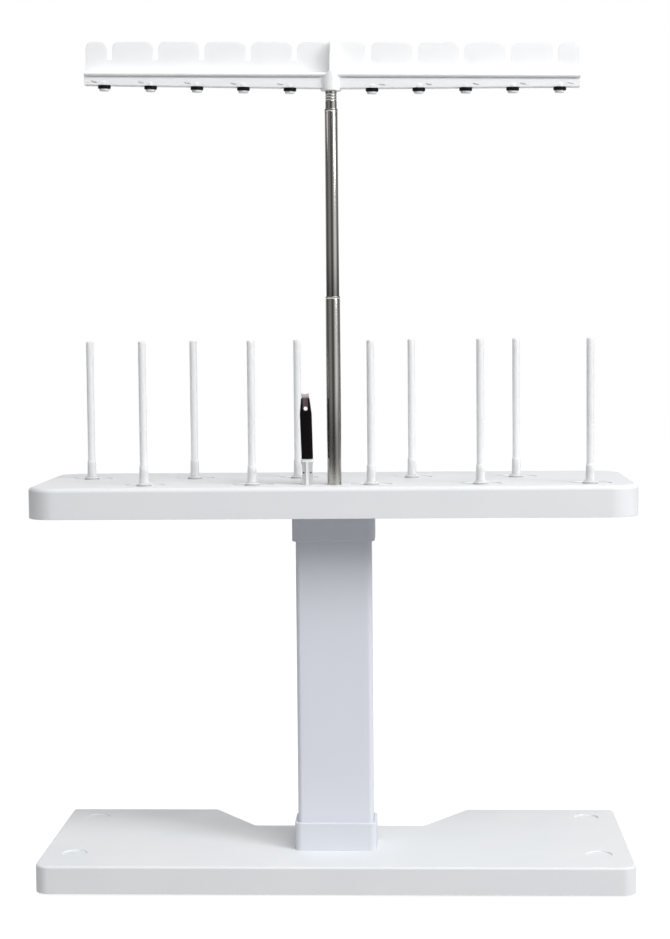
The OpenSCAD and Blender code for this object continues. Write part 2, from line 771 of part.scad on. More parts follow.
module pin_rings() {
    color("gray") translate([0, 0, dish_z]) at(pin_places) difference() {
        cylinder(ring_t, d = ring_d);
        translate([0, 0, -over]) cylinder(ring_t + 2 * over, d = screw_d + 2 * hole_gap);
    }
}

module pin_screws() {
    color("silver") translate([0, 0, pin_screw_z]) at(pin_places)
        pan_screw(screw_d, pin_foot_z - pin_screw_z + pin_thread_l, head_d, head_h);
}

// ---- Mast ----

module mast_clamp() {
    color("dimgray") translate([mast_x, mast_y, bracket_top]) difference() {
        translate([-clamp_w / 2, -clamp_d / 2]) cube([clamp_w, clamp_d, tray_roof - bracket_top]);
        translate([0, 0, clamp_floor]) cylinder(tray_h, d = lower_d + 2 * thread_gap);
        translate([0, 0, -over]) for (s = [-1, 1]) translate([s * clamp_screw_x, 0])
            cylinder(clamp_screw_l + 2 * over, d = screw_d + 2 * thread_gap);
        translate([0, 0, set_screw_z]) rotate([90, 0, 0])
            cylinder(clamp_d, d = screw_d + 2 * thread_gap);
    }
}

module clamp_screws() {
    color("silver") translate([0, 0, tray_bottom]) at(clamp_screw_places)
        flat_screw(screw_d, bracket_top - tray_bottom + clamp_screw_l, head_d, head_h);
}

module mast_set_screw() {
    color("silver") translate([mast_x, mast_y - lower_d / 2 - thread_gap, bracket_top + set_screw_z])
        rotate([90, 0, 0]) difference() {
            cylinder(clamp_d / 2 - lower_d / 2 - thread_gap, d = screw_d);
            translate([0, 0, clamp_d / 2 - lower_d / 2 - set_socket_l])
                cylinder(set_socket_l + over, d = screw_d / 2, $fn = hex_sides);
        }
}

// One section of the mast, from z = 0 to z = l, with a rolled-in lip of the given bore at its top
module tube_section(d, l, lip_bore) {
    bore = d - 2 * tube_wall;
    soft = tube_wall;
    rotate_extrude($fn = fine) polygon([[bore / 2, 0], [d / 2, 0], [d / 2, l - 2 * soft],
        [d / 2 - soft, l], [lip_bore / 2, l], [lip_bore / 2, l - lip_l], [bore / 2, l - lip_l]]);
}

module mast_lower_tube() {
    color("silver") translate([mast_x, mast_y, lower_bottom])
        tube_section(lower_d, lower_top - lower_bottom, middle_d + 2 * run_gap);
}

module mast_stop_plug() {
    color("dimgray") translate([mast_x, mast_y, lower_bottom])
        cylinder(stop_plug_h, d = lower_d - 2 * tube_wall - 2 * run_gap);
}

module mast_middle_tube() {
    color("silver") translate([mast_x, mast_y, middle_bottom])
        tube_section(middle_d, middle_top - middle_bottom, upper_d + 2 * run_gap);
}

// A friction sleeve at the foot of a tube, inside the tube around it
module slide_sleeve(tube, around) {
    difference() {
        cylinder(sleeve_l, d = around - 2 * tube_wall - 2 * run_gap, $fn = fine);
        translate([0, 0, -over]) cylinder(sleeve_l + 2 * over, d = tube + 2 * eps, $fn = fine);
    }
}

module middle_slide_sleeve() {
    color("goldenrod") translate([mast_x, mast_y, middle_bottom]) slide_sleeve(middle_d, lower_d);
}

module mast_upper_tube() {
    r = upper_d / 2;
    wall = upper_wall;
    grooves = [for (k = [0:groove_count - 1]) hub_z - groove_low - k * groove_pitch - upper_bottom];
    groove_steps = [for (k = [groove_count - 1:-1:0]) each
        [for (a = [-90:30:90]) [-groove_depth * cos(a), grooves[k] + groove_pitch / 3 * sin(a)]]];
    color("silver") translate([mast_x, mast_y, upper_bottom]) difference() {
        rotate_extrude($fn = fine) polygon(concat([[r, 0]],
            [for (g = groove_steps) [r + g.x, g.y]],
            [[r, upper_l], [r - wall, upper_l], [r - wall, 0]]));
        // The window that the guide's screw turns in
        translate([0, 0, hub_z + window_z - upper_bottom - window_tip_d / 2 - stop_gap])
            rotate(90 - window_half) rotate_extrude(angle = 2 * window_half, $fn = fine)
                translate([r - wall - over, 0]) square([wall + 2 * over, window_tip_d + 2 * stop_gap]);
    }
}

module upper_slide_sleeve() {
    color("goldenrod") translate([mast_x, mast_y, upper_bottom]) slide_sleeve(upper_d, middle_d);
}

// ---- Thread guide ----

// Children in the guide's frame: the mast's axis is z, the hub's underside z = 0, and the comb runs along x
module in_guide() {
    translate([mast_x, mast_y, hub_z]) children();
}

// The comb's face, its foot on y = 0
module comb_face() {
    h = comb_top - comb_foot;
    edges = concat([-guide_half], [for (i = [0:slot_count - 1]) slot_x(i)], [guide_half]);
    translate([-guide_half, -ledge_t]) square([2 * guide_half, h - slot_depth + ledge_t]);
    for (i = [0:slot_count]) {
        left = edges[i] + (i > 0 ? slot_w / 2 : 0);
        right = edges[i + 1] - (i < slot_count ? slot_w / 2 : 0);
        translate([left, 0]) square([right - left, h - tooth_r]);
        translate([left + tooth_r, 0]) square([right - left - 2 * tooth_r, h]);
        for (x = [left + tooth_r, right - tooth_r]) translate([x, h - tooth_r]) circle(tooth_r);
    }
}

module guide_bar() {
    full = 2 * guide_half;
    front = ledge_t / 2 - ledge_front;
    color("white") in_guide() difference() {
        union() {
            // Comb
            translate([0, guide_back, comb_foot]) rotate([90, 0, 0]) linear_extrude(comb_t) comb_face();
            // Ledge with a round front edge
            translate([-guide_half, front, ledge_z]) cube([full, guide_back - front, ledge_t]);
            translate([-guide_half, front, ledge_z + ledge_t / 2]) rotate([0, 90, 0])
                cylinder(full, d = ledge_t);
            // Beam, deeper at the hub than at its ends
            translate([0, guide_back, 0]) rotate([90, 0, 0]) linear_extrude(beam_front + guide_back)
                polygon([[-guide_half, beam_high], [-hub_d / 2, beam_low], [hub_d / 2, beam_low],
                    [guide_half, beam_high], [guide_half, ledge_z + eps], [-guide_half, ledge_z + eps]]);
            // Seats of the thread discs, domed in front of the beam
            for (i = [0:slot_count - 1]) translate([disc_x(i), 0, disc_z(i)]) {
                cylinder(seat_h, d = seat_d);
                translate([0, 0, seat_h]) cylinder(seat_round, d1 = seat_d, d2 = seat_d - 2 * seat_round);
            }
            // Hub, drawn in to the rib in front of the comb
            intersection() {
                cylinder(comb_top, d = hub_d);
                rotate([90, 0, 0]) linear_extrude(hub_d, center = true) polygon([
                    [-hub_d / 2, 0], [hub_d / 2, 0], [hub_d / 2, hub_shoulder], hub_neck, [rib_t / 2, hub_tip],
                    [-rib_t / 2, hub_tip], [-hub_neck.x, hub_neck.y], [-hub_d / 2, hub_shoulder]]);
            }
            translate([-rib_t / 2, 0, 0]) rotate([90, 0, 90]) linear_extrude(rib_t)
                polygon([[-hub_d / 2, hub_shoulder], [guide_back - comb_t / 2, hub_shoulder],
                    [guide_back - comb_t / 2, comb_top], [-gusset_top, comb_top], [-hub_d / 2, comb_foot]]);
        }
        translate([0, 0, -over]) cylinder(hub_depth + over, d = upper_d + 2 * run_gap);
        // The retaining screw's thread, from behind
        translate([0, 0, window_z]) rotate([-90, 0, 0]) cylinder(hub_d, d = guide_screw_d + 2 * thread_gap);
        for (i = [0:slot_count - 1]) {
            // Slit that leads the thread to its disc
            x = disc_x(i) + sign(disc_x(i)) * slit_x;
            translate([x, slit_cut - beam_front, beam_z(x) + slit_z]) rotate([90, 0, 0])
                linear_extrude(slit_cut + over) slit_shape();
            translate([disc_x(i), 0, disc_z(i) - over])
                cylinder(stem_l + 2 * over, d = stem_d + 2 * thread_gap);
        }
    }
}

// A hooked slit, seen from the front
module slit_shape() {
    square([slit_l / 2, slit_t]);
    rotate(-slit_tilt) translate([-slit_l / 2, 0]) square([slit_l / 2 + slit_t / 2, slit_t]);
}

module guide_screw() {
    thread_from = upper_d / 2 + run_gap;
    color("silver") in_guide() translate([0, 0, window_z]) rotate([-90, 0, 0]) difference() {
        union() {
            translate([0, 0, upper_d / 2 - upper_wall])
                cylinder(upper_wall + run_gap + eps, d = window_tip_d);
            translate([0, 0, thread_from]) cylinder(hub_d / 2 - thread_from, d = guide_screw_d);
        }
        translate([0, 0, hub_d / 2 - guide_socket_l])
            cylinder(guide_socket_l + over, d = guide_screw_d / 2, $fn = hex_sides);
    }
}

module thread_disc(i) {
    color("black") in_guide() translate([disc_x(i), 0, disc_z(i) - disc_t]) difference() {
        cylinder(disc_t, d = disc_d);
        translate([0, 0, -over]) cylinder(disc_t + 2 * over, d = stem_d + 2 * seat_gap);
    }
}

module thread_disc_1() { thread_disc(0); }
module thread_disc_2() { thread_disc(1); }
module thread_disc_3() { thread_disc(2); }
module thread_disc_4() { thread_disc(3); }
module thread_disc_5() { thread_disc(4); }
module thread_disc_6() { thread_disc(5); }
module thread_disc_7() { thread_disc(6); }
module thread_disc_8() { thread_disc(7); }
module thread_disc_9() { thread_disc(8); }
module thread_disc_10() { thread_disc(9); }

module disc_caps() {
    color("white") in_guide() for (i = [0:slot_count - 1])
        translate([disc_x(i), 0, disc_z(i) - disc_t - cap_t]) {
            cylinder(cap_t / 2, d1 = cap_d - cap_t, d2 = cap_d);
            translate([0, 0, cap_t / 2]) cylinder(cap_t / 2, d = cap_d);
            cylinder(cap_t + disc_t + stem_l, d = stem_d);
        }
}

// ---- Hand tool ----

module tool_holder() {
    rim = holder_w / 2;
    waist = (holder_w - holder_waist) / 2;
    rim_z = holder_h - holder_rim_h;
    flare_z = rim_z - holder_flare;
    color("whitesmoke") translate([tool_x, mast_y, tray_top]) difference() {
        union() {
            // Narrow body that flares into a rim
            intersection() {
                rotate([90, 0, 0]) linear_extrude(2 * holder_d, center = true) polygon(
                    [[-waist, 0], [waist, 0], [waist, flare_z], [rim, rim_z], [rim, holder_h],
                        [-rim, holder_h], [-rim, rim_z], [-waist, flare_z]]);
                linear_extrude(holder_h) rounded_rect(holder_w, holder_d, holder_r);
            }
            translate([-holder_ridge / 2, -holder_d / 2 - holder_ridge_t, 0])
                cube([holder_ridge, holder_d / 2, rim_z]);
        }
        translate([0, 0, holder_h - shank_l - tip_gap])
            cylinder(shank_l + 2 * over, d = shank_d + 2 * hole_gap);
        for (s = [-1, 1]) translate([s * holder_hole_x, -holder_d / 2 + holder_hole_l, holder_hole_z])
            rotate([90, 0, 0]) cylinder(holder_d, d = holder_hole_d);
        translate([0, 0, -over]) cylinder(holder_grip + 2 * over, d = holder_screw_d + 2 * thread_gap);
    }
}

module holder_screw() {
    color("silver") translate([tool_x, mast_y, pin_screw_z])
        pan_screw(holder_screw_d, tray_top - pin_screw_z + holder_grip, head_d, head_h);
}

module tool_handle() {
    wide = handle_w / 2;
    top = handle_top_w / 2;
    foot = handle_foot_w / 2;
    slot_half = tongue_w / 2 + thread_gap;
    color("black") translate([tool_x, mast_y, handle_z]) difference() {
        intersection() {
            rotate([90, 0, 0]) linear_extrude(handle_t, center = true) polygon(
                [[-foot, 0], [foot, 0], [wide, handle_neck], [top, handle_l - handle_round],
                    [top - handle_round, handle_l], [handle_round - top, handle_l],
                    [-top, handle_l - handle_round], [-wide, handle_neck]]);
            linear_extrude(handle_l) rounded_rect(handle_w, handle_t, handle_corner);
        }
        // Open slot for the tongue
        translate([0, 0, handle_l - tongue_l + tongue_w / 2]) rotate([90, 0, 0])
            linear_extrude(2 * handle_t, center = true) {
                circle(slot_half);
                translate([-slot_half, 0]) square([2 * slot_half, tongue_l]);
            }
        translate([0, 0, -over]) cylinder(shank_in + 2 * over, d = shank_d + 2 * thread_gap);
    }
}

module tool_tongue() {
    straight = tongue_l - tongue_w / 2;
    head = tongue_head_w / 2;
    color("silver") translate([tool_x, mast_y, handle_z + handle_l]) rotate([90, 0, 0]) difference() {
        union() {
            linear_extrude(tongue_t, center = true) {
                translate([0, -straight]) circle(d = tongue_w);
                translate([-tongue_w / 2, -straight]) square([tongue_w, straight + tongue_head_h / 2]);
            }
            linear_extrude(tongue_head_t, center = true) polygon([[-head, 0], [head, 0],
                [head, tongue_head_h], [-head, tongue_head_h]]);
        }
        translate([0, -straight]) cylinder(2 * handle_t, d = tongue_eye_d, center = true);
        // Shallow dip along the head's top
        translate([0, tongue_head_h + tongue_dip_r - tongue_dip])
            cylinder(2 * handle_t, r = tongue_dip_r, center = true);
    }
}

module tool_shank() {
    color("silver") translate([tool_x, mast_y, handle_z - shank_l]) cylinder(shank_l + shank_in, d = shank_d);
}

base_cover();
base_plate();
rubber_feet();
foot_screws();
base_screws();
lower_collar();
lower_collar_bolts();
column_tube();
column_screws();
upper_collar();
upper_collar_bolts();
tray_bracket();
tray_floor();
tray_shell();
tray_screws();
spool_pin_1();
spool_pin_2();
spool_pin_3();
spool_pin_4();
spool_pin_5();
spool_pin_6();
spool_pin_7();
spool_pin_8();
spool_pin_9();
spool_pin_10();
pin_rings();
pin_screws();
mast_clamp();
clamp_screws();
mast_set_screw();
mast_lower_tube();
mast_stop_plug();
mast_middle_tube();
middle_slide_sleeve();
mast_upper_tube();
upper_slide_sleeve();
guide_bar();
guide_screw();
thread_disc_1();
thread_disc_2();
thread_disc_3();
thread_disc_4();
thread_disc_5();
thread_disc_6();
thread_disc_7();
thread_disc_8();
thread_disc_9();
thread_disc_10();
disc_caps();
tool_holder();
holder_screw();
tool_handle();
tool_tongue();
tool_shank();
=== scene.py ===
"""Looks of the ten-spool thread stand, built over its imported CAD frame.

Metres throughout: +Z is up, +X is to the right, the front faces -Y, and the origin is on the
floor at the middle of the base. Every sub-assembly is a class that holds its sizes, builds its
pieces and dresses them in finishes from one palette.
"""

import json
import logging
import math
from dataclasses import dataclass, field, replace
from enum import Enum

import bmesh
import bpy
from bpy.types import Material, Mesh, Node, NodeSocket, NodeTree, Object
from mathutils import Matrix, Vector


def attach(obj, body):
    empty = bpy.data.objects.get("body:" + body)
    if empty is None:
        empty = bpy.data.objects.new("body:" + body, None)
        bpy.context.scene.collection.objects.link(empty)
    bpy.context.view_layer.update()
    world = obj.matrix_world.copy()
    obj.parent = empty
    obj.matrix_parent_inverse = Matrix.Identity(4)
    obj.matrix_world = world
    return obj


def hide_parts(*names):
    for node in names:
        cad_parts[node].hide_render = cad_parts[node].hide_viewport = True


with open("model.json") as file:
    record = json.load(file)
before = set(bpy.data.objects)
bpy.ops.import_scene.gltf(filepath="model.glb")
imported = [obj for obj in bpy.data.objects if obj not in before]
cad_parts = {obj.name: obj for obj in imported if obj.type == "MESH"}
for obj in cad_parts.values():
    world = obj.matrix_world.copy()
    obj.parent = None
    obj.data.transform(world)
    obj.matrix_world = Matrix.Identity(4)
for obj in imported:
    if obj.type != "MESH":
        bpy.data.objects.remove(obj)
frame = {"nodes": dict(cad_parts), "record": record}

LOG = logging.getLogger("thread_stand")
MM = 0.001
WELD = 0.5e-6
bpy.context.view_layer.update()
FRAME_WIDTH = 670

Colour = tuple[float, float, float]
Point2 = tuple[float, float]
Point3 = tuple[float, float, float]

WHITE: Colour = (1.0, 1.0, 1.0)
# Shares of a metal's shade colour that make its painted shade, and the height over which that
# painted shade fades in.
PAINTED_SHADE_SHARE: Colour = (0.29, 0.21, 0.24)
PAINTED_SHADE_FADE = 1.2 * MM
MIDDLE: Point2 = (0.3, 0.7)
TURNED_SHARP = 34.0


class Socket(Enum):
    """The sockets of a node group that don't hold a number."""

    VECTOR = "NodeSocketVector"
    GEOMETRY = "NodeSocketGeometry"
    MATERIAL = "NodeSocketMaterial"


class Gloss(Enum):
    """How shiny a moulded or painted face is; the value is its roughness."""

    MATTE = 0.68
    SATIN = 0.46
    SOFT_GLOSS = 0.32


class Side(Enum):
    """Which way a row of pieces is numbered outwards from the mast."""

    LEFT = -1
    RIGHT = 1


# ---- Node trees ----


class Graph:
    """Adds nodes to one tree and joins them."""

    def __init__(self, tree: NodeTree) -> None:
        """Keeps the tree that the nodes go into."""
        self.tree = tree

    def feed(self, node: Node, sockets: dict) -> None:
        """Sets a node's inputs.

        Args:
            node: The node.
            sockets: Input name or number to a value, to the output socket that feeds it, or to the
                node whose first output does.
        """
        for key, value in sockets.items():
            socket = node.inputs[key]
            source = value.outputs[0] if isinstance(value, Node) else value
            if isinstance(source, NodeSocket):
                self.tree.links.new(source, socket)
            else:
                socket.default_value = (*value, 1.0) if socket.type == "RGBA" else value

    def add(self, kind: str, sockets: dict | None = None, **settings: object) -> Node:
        """Adds a node.

        Args:
            kind: The node's type name.
            sockets: What its inputs are set to, as in feed.
            settings: The node's own properties.

        Returns:
            The new node.
        """
        node = self.tree.nodes.new(kind)
        for name, value in settings.items():
            setattr(node, name, value)
        self.feed(node, sockets or {})
        return node

    def math(self, operation: str, *values: object) -> NodeSocket:
        """Adds a math step on values or sockets and returns the result's socket."""
        return self.add("ShaderNodeMath", dict(enumerate(values)), operation=operation).outputs[0]

    def mix(self, factor: object, first: object, second: object) -> NodeSocket:
        """Mixes two colours or their sockets, 0 for the first and 1 for the second."""
        sockets = {0: factor, 6: first, 7: second}
        return self.add("ShaderNodeMix", sockets, data_type="RGBA").outputs[2]

    def ranged(self, value: NodeSocket, start: object, end: object, low: object = 0.0,
               high: object = 1.0) -> NodeSocket:
        """Maps start to end onto low to high, held beyond both, and returns the socket."""
        return self.add("ShaderNodeMapRange", {
            "Value": value, "From Min": start, "From Max": end, "To Min": low,
            "To Max": high}).outputs[0]

    def noise(self, vector: NodeSocket, scale: object, detail: float, rough: float = 0.5,
              twist: float = 0.0) -> NodeSocket:
        """Adds a noise texture and returns its value's socket."""
        return self.add("ShaderNodeTexNoise", {
            "Vector": vector, "Scale": scale, "Detail": detail, "Roughness": rough,
            "Distortion": twist}).outputs[0]

    def bump(self, height: Node | NodeSocket, depth: float) -> NodeSocket:
        """Raises a height texture by a depth and returns the normal's socket."""
        return self.add("ShaderNodeBump", {
            "Height": height, "Distance": depth, "Strength": 1.0}).outputs[0]


Ports = dict[str, Socket | float]


class Group:
    """A node group with named ports, built once and used in many trees."""

    def __init__(self, name: str, takes: Ports, gives: Ports, kind: str = "ShaderNodeTree") -> None:
        """Makes the empty group.

        Args:
            name: The group's name.
            takes: Its inputs by name: a kind of socket, or the number that an input starts at.
            gives: Its outputs, likewise.
            kind: ShaderNodeTree or GeometryNodeTree.
        """
        self.tree = bpy.data.node_groups.new(name, kind)
        self.graph = Graph(self.tree)
        for ports, way in ((takes, "INPUT"), (gives, "OUTPUT")):
            for port, what in ports.items():
                number = "NodeSocketInt" if isinstance(what, int) else "NodeSocketFloat"
                held = what.value if isinstance(what, Socket) else number
                made = self.tree.interface.new_socket(port, in_out=way, socket_type=held)
                if held == number:
                    made.default_value = what
        self.source = self.tree.nodes.new("NodeGroupInput").outputs
        self.sink = self.tree.nodes.new("NodeGroupOutput").inputs

    def give(self, name: str, socket: NodeSocket) -> None:
        """Joins a socket to one of the group's outputs."""
        self.tree.links.new(socket, self.sink[name])

    def place(self, graph: Graph, sockets: dict) -> Node:
        """Places the group in a tree, with its inputs by name, and returns its node."""
        kind = "ShaderNodeGroup" if self.tree.bl_idname == "ShaderNodeTree" else "GeometryNodeGroup"
        return graph.add(kind, sockets, node_tree=self.tree)


class Textures:
    """The shader groups that the finishes share."""

    FINE_SHARE = 0.7
    CELL_SHARE = 0.3
    CELL_SCALE = 0.7
    SMUDGE_SCALE = 6.0
    SMUDGE_EDGE = 0.16
    BAND_SCALE = 0.12

    def __init__(self) -> None:
        """Builds each group once."""
        self.grain = self._grain()
        self.marks = self._marks()
        self.drawn = self._drawn()

    def _grain(self) -> Group:
        """The fine sparked texture that a mould leaves on plastic, as a height from 0 to 1."""
        made = Group("moulded_grain", {"Vector": Socket.VECTOR, "Scale": 900.0}, {"Height": 0.0})
        graph, place, scale = made.graph, made.source["Vector"], made.source["Scale"]
        fine = graph.noise(place, scale, 3.0, 0.55)
        cells = graph.add("ShaderNodeTexVoronoi", {
            "Vector": place, "Scale": graph.math("MULTIPLY", scale, self.CELL_SCALE),
            "Smoothness": 0.6}, feature="SMOOTH_F1").outputs["Distance"]
        coarse = graph.math("MULTIPLY", cells, self.CELL_SHARE)
        made.give("Height", graph.math("MULTIPLY_ADD", fine, self.FINE_SHARE, coarse))
        return made

    def _marks(self) -> Group:
        """Soft patches of handling and faint smudges."""
        made = Group("handling_marks", {"Vector": Socket.VECTOR, "Scale": 18.0, "Cover": 0.5},
                     {"Patch": 0.0, "Smudge": 0.0})
        graph, place, scale = made.graph, made.source["Vector"], made.source["Scale"]
        wide = graph.noise(place, scale, 2.0)
        made.give("Patch", wide)
        small = graph.noise(place, graph.math("MULTIPLY", scale, self.SMUDGE_SCALE), 4.0, 0.65, 0.6)
        edge = graph.math("MULTIPLY_ADD", made.source["Cover"], -0.3, 0.5)
        past = graph.math("ADD", edge, self.SMUDGE_EDGE)
        made.give("Smudge", graph.ranged(graph.math("MULTIPLY", small, wide), edge, past))
        return made

    def _drawn(self) -> Group:
        """Fine lines along the draw of a tube or wire."""
        made = Group("drawn_lines", {"Vector": Socket.VECTOR, "Scale": 1500.0, "Stretch": 40.0},
                     {"Height": 0.0, "Streak": 0.0})
        graph, source = made.graph, made.source
        apart = graph.add("ShaderNodeSeparateXYZ", {0: source["Vector"]}).outputs
        short = graph.math("DIVIDE", apart[2], source["Stretch"])
        along = graph.add("ShaderNodeCombineXYZ", {0: apart[0], 1: apart[1], 2: short}).outputs[0]
        made.give("Height", graph.noise(along, source["Scale"], 2.0, 0.6))
        made.give("Streak", graph.noise(
            along, graph.math("MULTIPLY", source["Scale"], self.BAND_SCALE), 1.0))
        return made


# ---- Making pieces ----


def put(name: str, data: bpy.types.ID) -> Object:
    """Puts a mesh, camera, lamp or text in the scene.

    Args:
        name: The object's name.
        data: What it holds.

    Returns:
        The object.
    """
    made = bpy.data.objects.new(name, data)
    bpy.context.scene.collection.objects.link(made)
    return made


def shade(piece: Object, angle: float) -> None:
    """Shades a piece smooth, except across edges sharper than an angle in degrees."""
    piece.data.shade_smooth()
    piece.data.set_sharp_from_angle(angle=math.radians(angle))


def lean(piece: Object, pivot: Vector, degrees: float) -> None:
    """Tips a piece about a point, its top to the right, by the play of its seat."""
    turn = Matrix.Rotation(math.radians(degrees), 4, "Y")
    piece.data.transform(Matrix.Translation(pivot) @ turn @ Matrix.Translation(-pivot))


def plain_mesh(piece: Object) -> Mesh:
    """Returns an object's finished shape as a new mesh."""
    bpy.context.view_layer.update()
    seen = piece.evaluated_get(bpy.context.evaluated_depsgraph_get())
    return bpy.data.meshes.new_from_object(seen)


def settle(piece: Object) -> None:
    """Turns a piece's modifiers into plain mesh.

    Args:
        piece: The piece.
    """
    made = plain_mesh(piece)
    old = piece.data
    piece.modifiers.clear()
    piece.data = made
    made.name = piece.name
    bpy.data.meshes.remove(old)


def modify(piece: Object, kind: str, **settings: object) -> None:
    """Runs one modifier on a piece and keeps the plain mesh.

    Args:
        piece: The piece.
        kind: The modifier's type.
        settings: Its properties.
    """
    modifier = piece.modifiers.new(kind.lower(), kind)
    for name, value in settings.items():
        setattr(modifier, name, value)
    settle(piece)


def grow(name: str, profile: list[Point2], group: Group, inputs: dict) -> Object:
    """Runs a Geometry Nodes tree on a closed profile and keeps the plain mesh.

    Args:
        name: The new piece's name.
        profile: Radius and height of each corner, for turning round Z.
        group: The tree.
        inputs: Its input values by name.

    Returns:
        The new piece, at the origin.
    """
    mesh = bpy.data.meshes.new(name)
    edges = [(k, (k + 1) % len(profile)) for k in range(len(profile))]
    mesh.from_pydata([(r, 0.0, z) for r, z in profile], edges, [])
    piece = put(name, mesh)
    modifier = piece.modifiers.new("grow", "NODES")
    modifier.node_group = group.tree
    for item in group.tree.interface.items_tree:
        if item.item_type == "SOCKET" and item.in_out == "INPUT" and item.name in inputs:
            modifier[item.identifier] = inputs[item.name]
    settle(piece)
    solid = bmesh.new()
    solid.from_mesh(piece.data)
    bmesh.ops.recalc_face_normals(solid, faces=solid.faces[:])
    solid.to_mesh(piece.data)
    solid.free()
    shade(piece, TURNED_SHARP)
    return piece


def paint(piece: Object, *materials: Material) -> None:
    """Gives the whole piece its first material and keeps the others for single faces.

    Args:
        piece: The piece.
        materials: Its materials.
    """
    piece.data.materials.clear()
    for material in materials:
        piece.data.materials.append(material)
    piece.data.polygons.foreach_set("material_index", [0] * len(piece.data.polygons))


def mount(piece: Object, body: str, slot: str, *nodes: str) -> None:
    """Rides a piece on its body and names what it stands for.

    Args:
        piece: The finished piece.
        body: The CAD body it moves with.
        slot: The record's material slot; not used.
        nodes: The CAD nodes that it stands for.
    """
    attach(piece, body)
    if nodes:
        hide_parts(*nodes)
    LOG.info("piece %s on %s: %d faces, stands for %s", piece.name, body,
             len(piece.data.polygons), ", ".join(nodes) or "nothing")


@dataclass(frozen=True)
class Soften:
    """How a CAD solid is copied and how far its edges are rounded.

    Attributes:
        width: Width of the round.
        steps: Segments across it.
        angle: Least angle between faces that counts as an edge, in degrees.
        flat: Greatest angle between faces that are merged into one, in degrees.
        sharp: Angle past which shading breaks, in degrees.
    """

    width: float
    steps: int = 2
    angle: float = 32.0
    flat: float = 0.6
    sharp: float = 48.0

    def copy_of(self, node: str, cutter: Object | None = None) -> Object:
        """Copies a CAD node's mesh, merges it and rounds its edges.

        Args:
            node: The CAD node.
            cutter: A solid to cut from the copy before its edges are rounded; it is used up.

        Returns:
            The new piece, at the origin.
        """
        mesh = frame["nodes"][node].data.copy()
        mesh.name = f"{node}_dressed"
        if "custom_normal" in mesh.attributes:
            mesh.attributes.remove(mesh.attributes["custom_normal"])
        solid = bmesh.new()
        solid.from_mesh(mesh)
        bmesh.ops.remove_doubles(solid, verts=solid.verts[:], dist=WELD)
        bmesh.ops.dissolve_degenerate(solid, edges=solid.edges[:], dist=2 * WELD)
        bmesh.ops.dissolve_limit(
            solid, angle_limit=math.radians(self.flat), use_dissolve_boundaries=False,
            verts=solid.verts[:], edges=solid.edges[:], delimit=set())
        solid.to_mesh(mesh)
        solid.free()
        piece = put(f"{node}_dressed", mesh)
        if cutter:
            modify(piece, "BOOLEAN", operation="DIFFERENCE", solver="EXACT", object=cutter)
            bpy.data.meshes.remove(cutter.data)
        modify(piece, "BEVEL", width=self.width, segments=self.steps, limit_method="ANGLE",
               angle_limit=math.radians(self.angle), use_clamp_overlap=True,
               miter_outer="MITER_ARC")
        shade(piece, self.sharp)
        modify(piece, "WEIGHTED_NORMAL", mode="FACE_AREA", keep_sharp=True)
        return piece


# ---- Finishes ----


def new_material(name: str) -> tuple[Material, Graph]:
    """Makes a material with nodes.

    Args:
        name: Its name.

    Returns:
        The material and its tree.
    """
    material = bpy.data.materials.new(name)
    material.use_nodes = True
    return material, Graph(material.node_tree)


@dataclass(frozen=True)
class Moulded:
    """A moulded or painted face.

    Attributes:
        name: The material's name.
        colour: Its colour, linear.
        shade: The colour that its faint patches lean to.
        gloss: How shiny it is.
        grain: Scale of its fine texture; larger is finer.
        depth: Height of that texture.
        marks: How much handling shows, from 0 to 1.
        coat: Weight of a clear top layer.
        glow: Subsurface weight, for milky plastic.
        glow_depth: How far light spreads under the face.
        mirror: Strength of its reflections; 0.5 is that of plain glass.
    """

    name: str
    colour: Colour
    shade: Colour
    gloss: Gloss
    grain: float = 900.0
    depth: float = 0.02 * MM
    marks: float = 0.4
    coat: float = 0.0
    glow: float = 0.0
    glow_depth: float = 1.5 * MM
    mirror: float = 0.28

    def make(self, textures: Textures) -> Material:
        """Builds the material.

        Args:
            textures: The shared shader groups.

        Returns:
            The material.
        """
        material, graph = new_material(self.name)
        place = graph.add("ShaderNodeTexCoord").outputs["Object"]
        grain = textures.grain.place(graph, {"Vector": place, "Scale": self.grain})
        marks = textures.marks.place(graph, {"Vector": place, "Cover": self.marks}).outputs
        base = self.gloss.value
        clean = graph.ranged(marks["Patch"], *MIDDLE, base - 0.04, base + 0.05)
        graph.feed(graph.tree.nodes["Principled BSDF"], {
            "Base Color": graph.mix(graph.ranged(marks["Patch"], *MIDDLE), self.colour, self.shade),
            "Roughness": graph.math("MULTIPLY_ADD", marks["Smudge"], 0.12 * self.marks, clean),
            "Normal": graph.bump(grain, self.depth),
            "Specular IOR Level": self.mirror,
            "Coat Weight": self.coat,
            "Coat Roughness": 0.12,
            "Subsurface Weight": self.glow,
            "Subsurface Radius": WHITE,
            "Subsurface Scale": self.glow_depth})
        return material


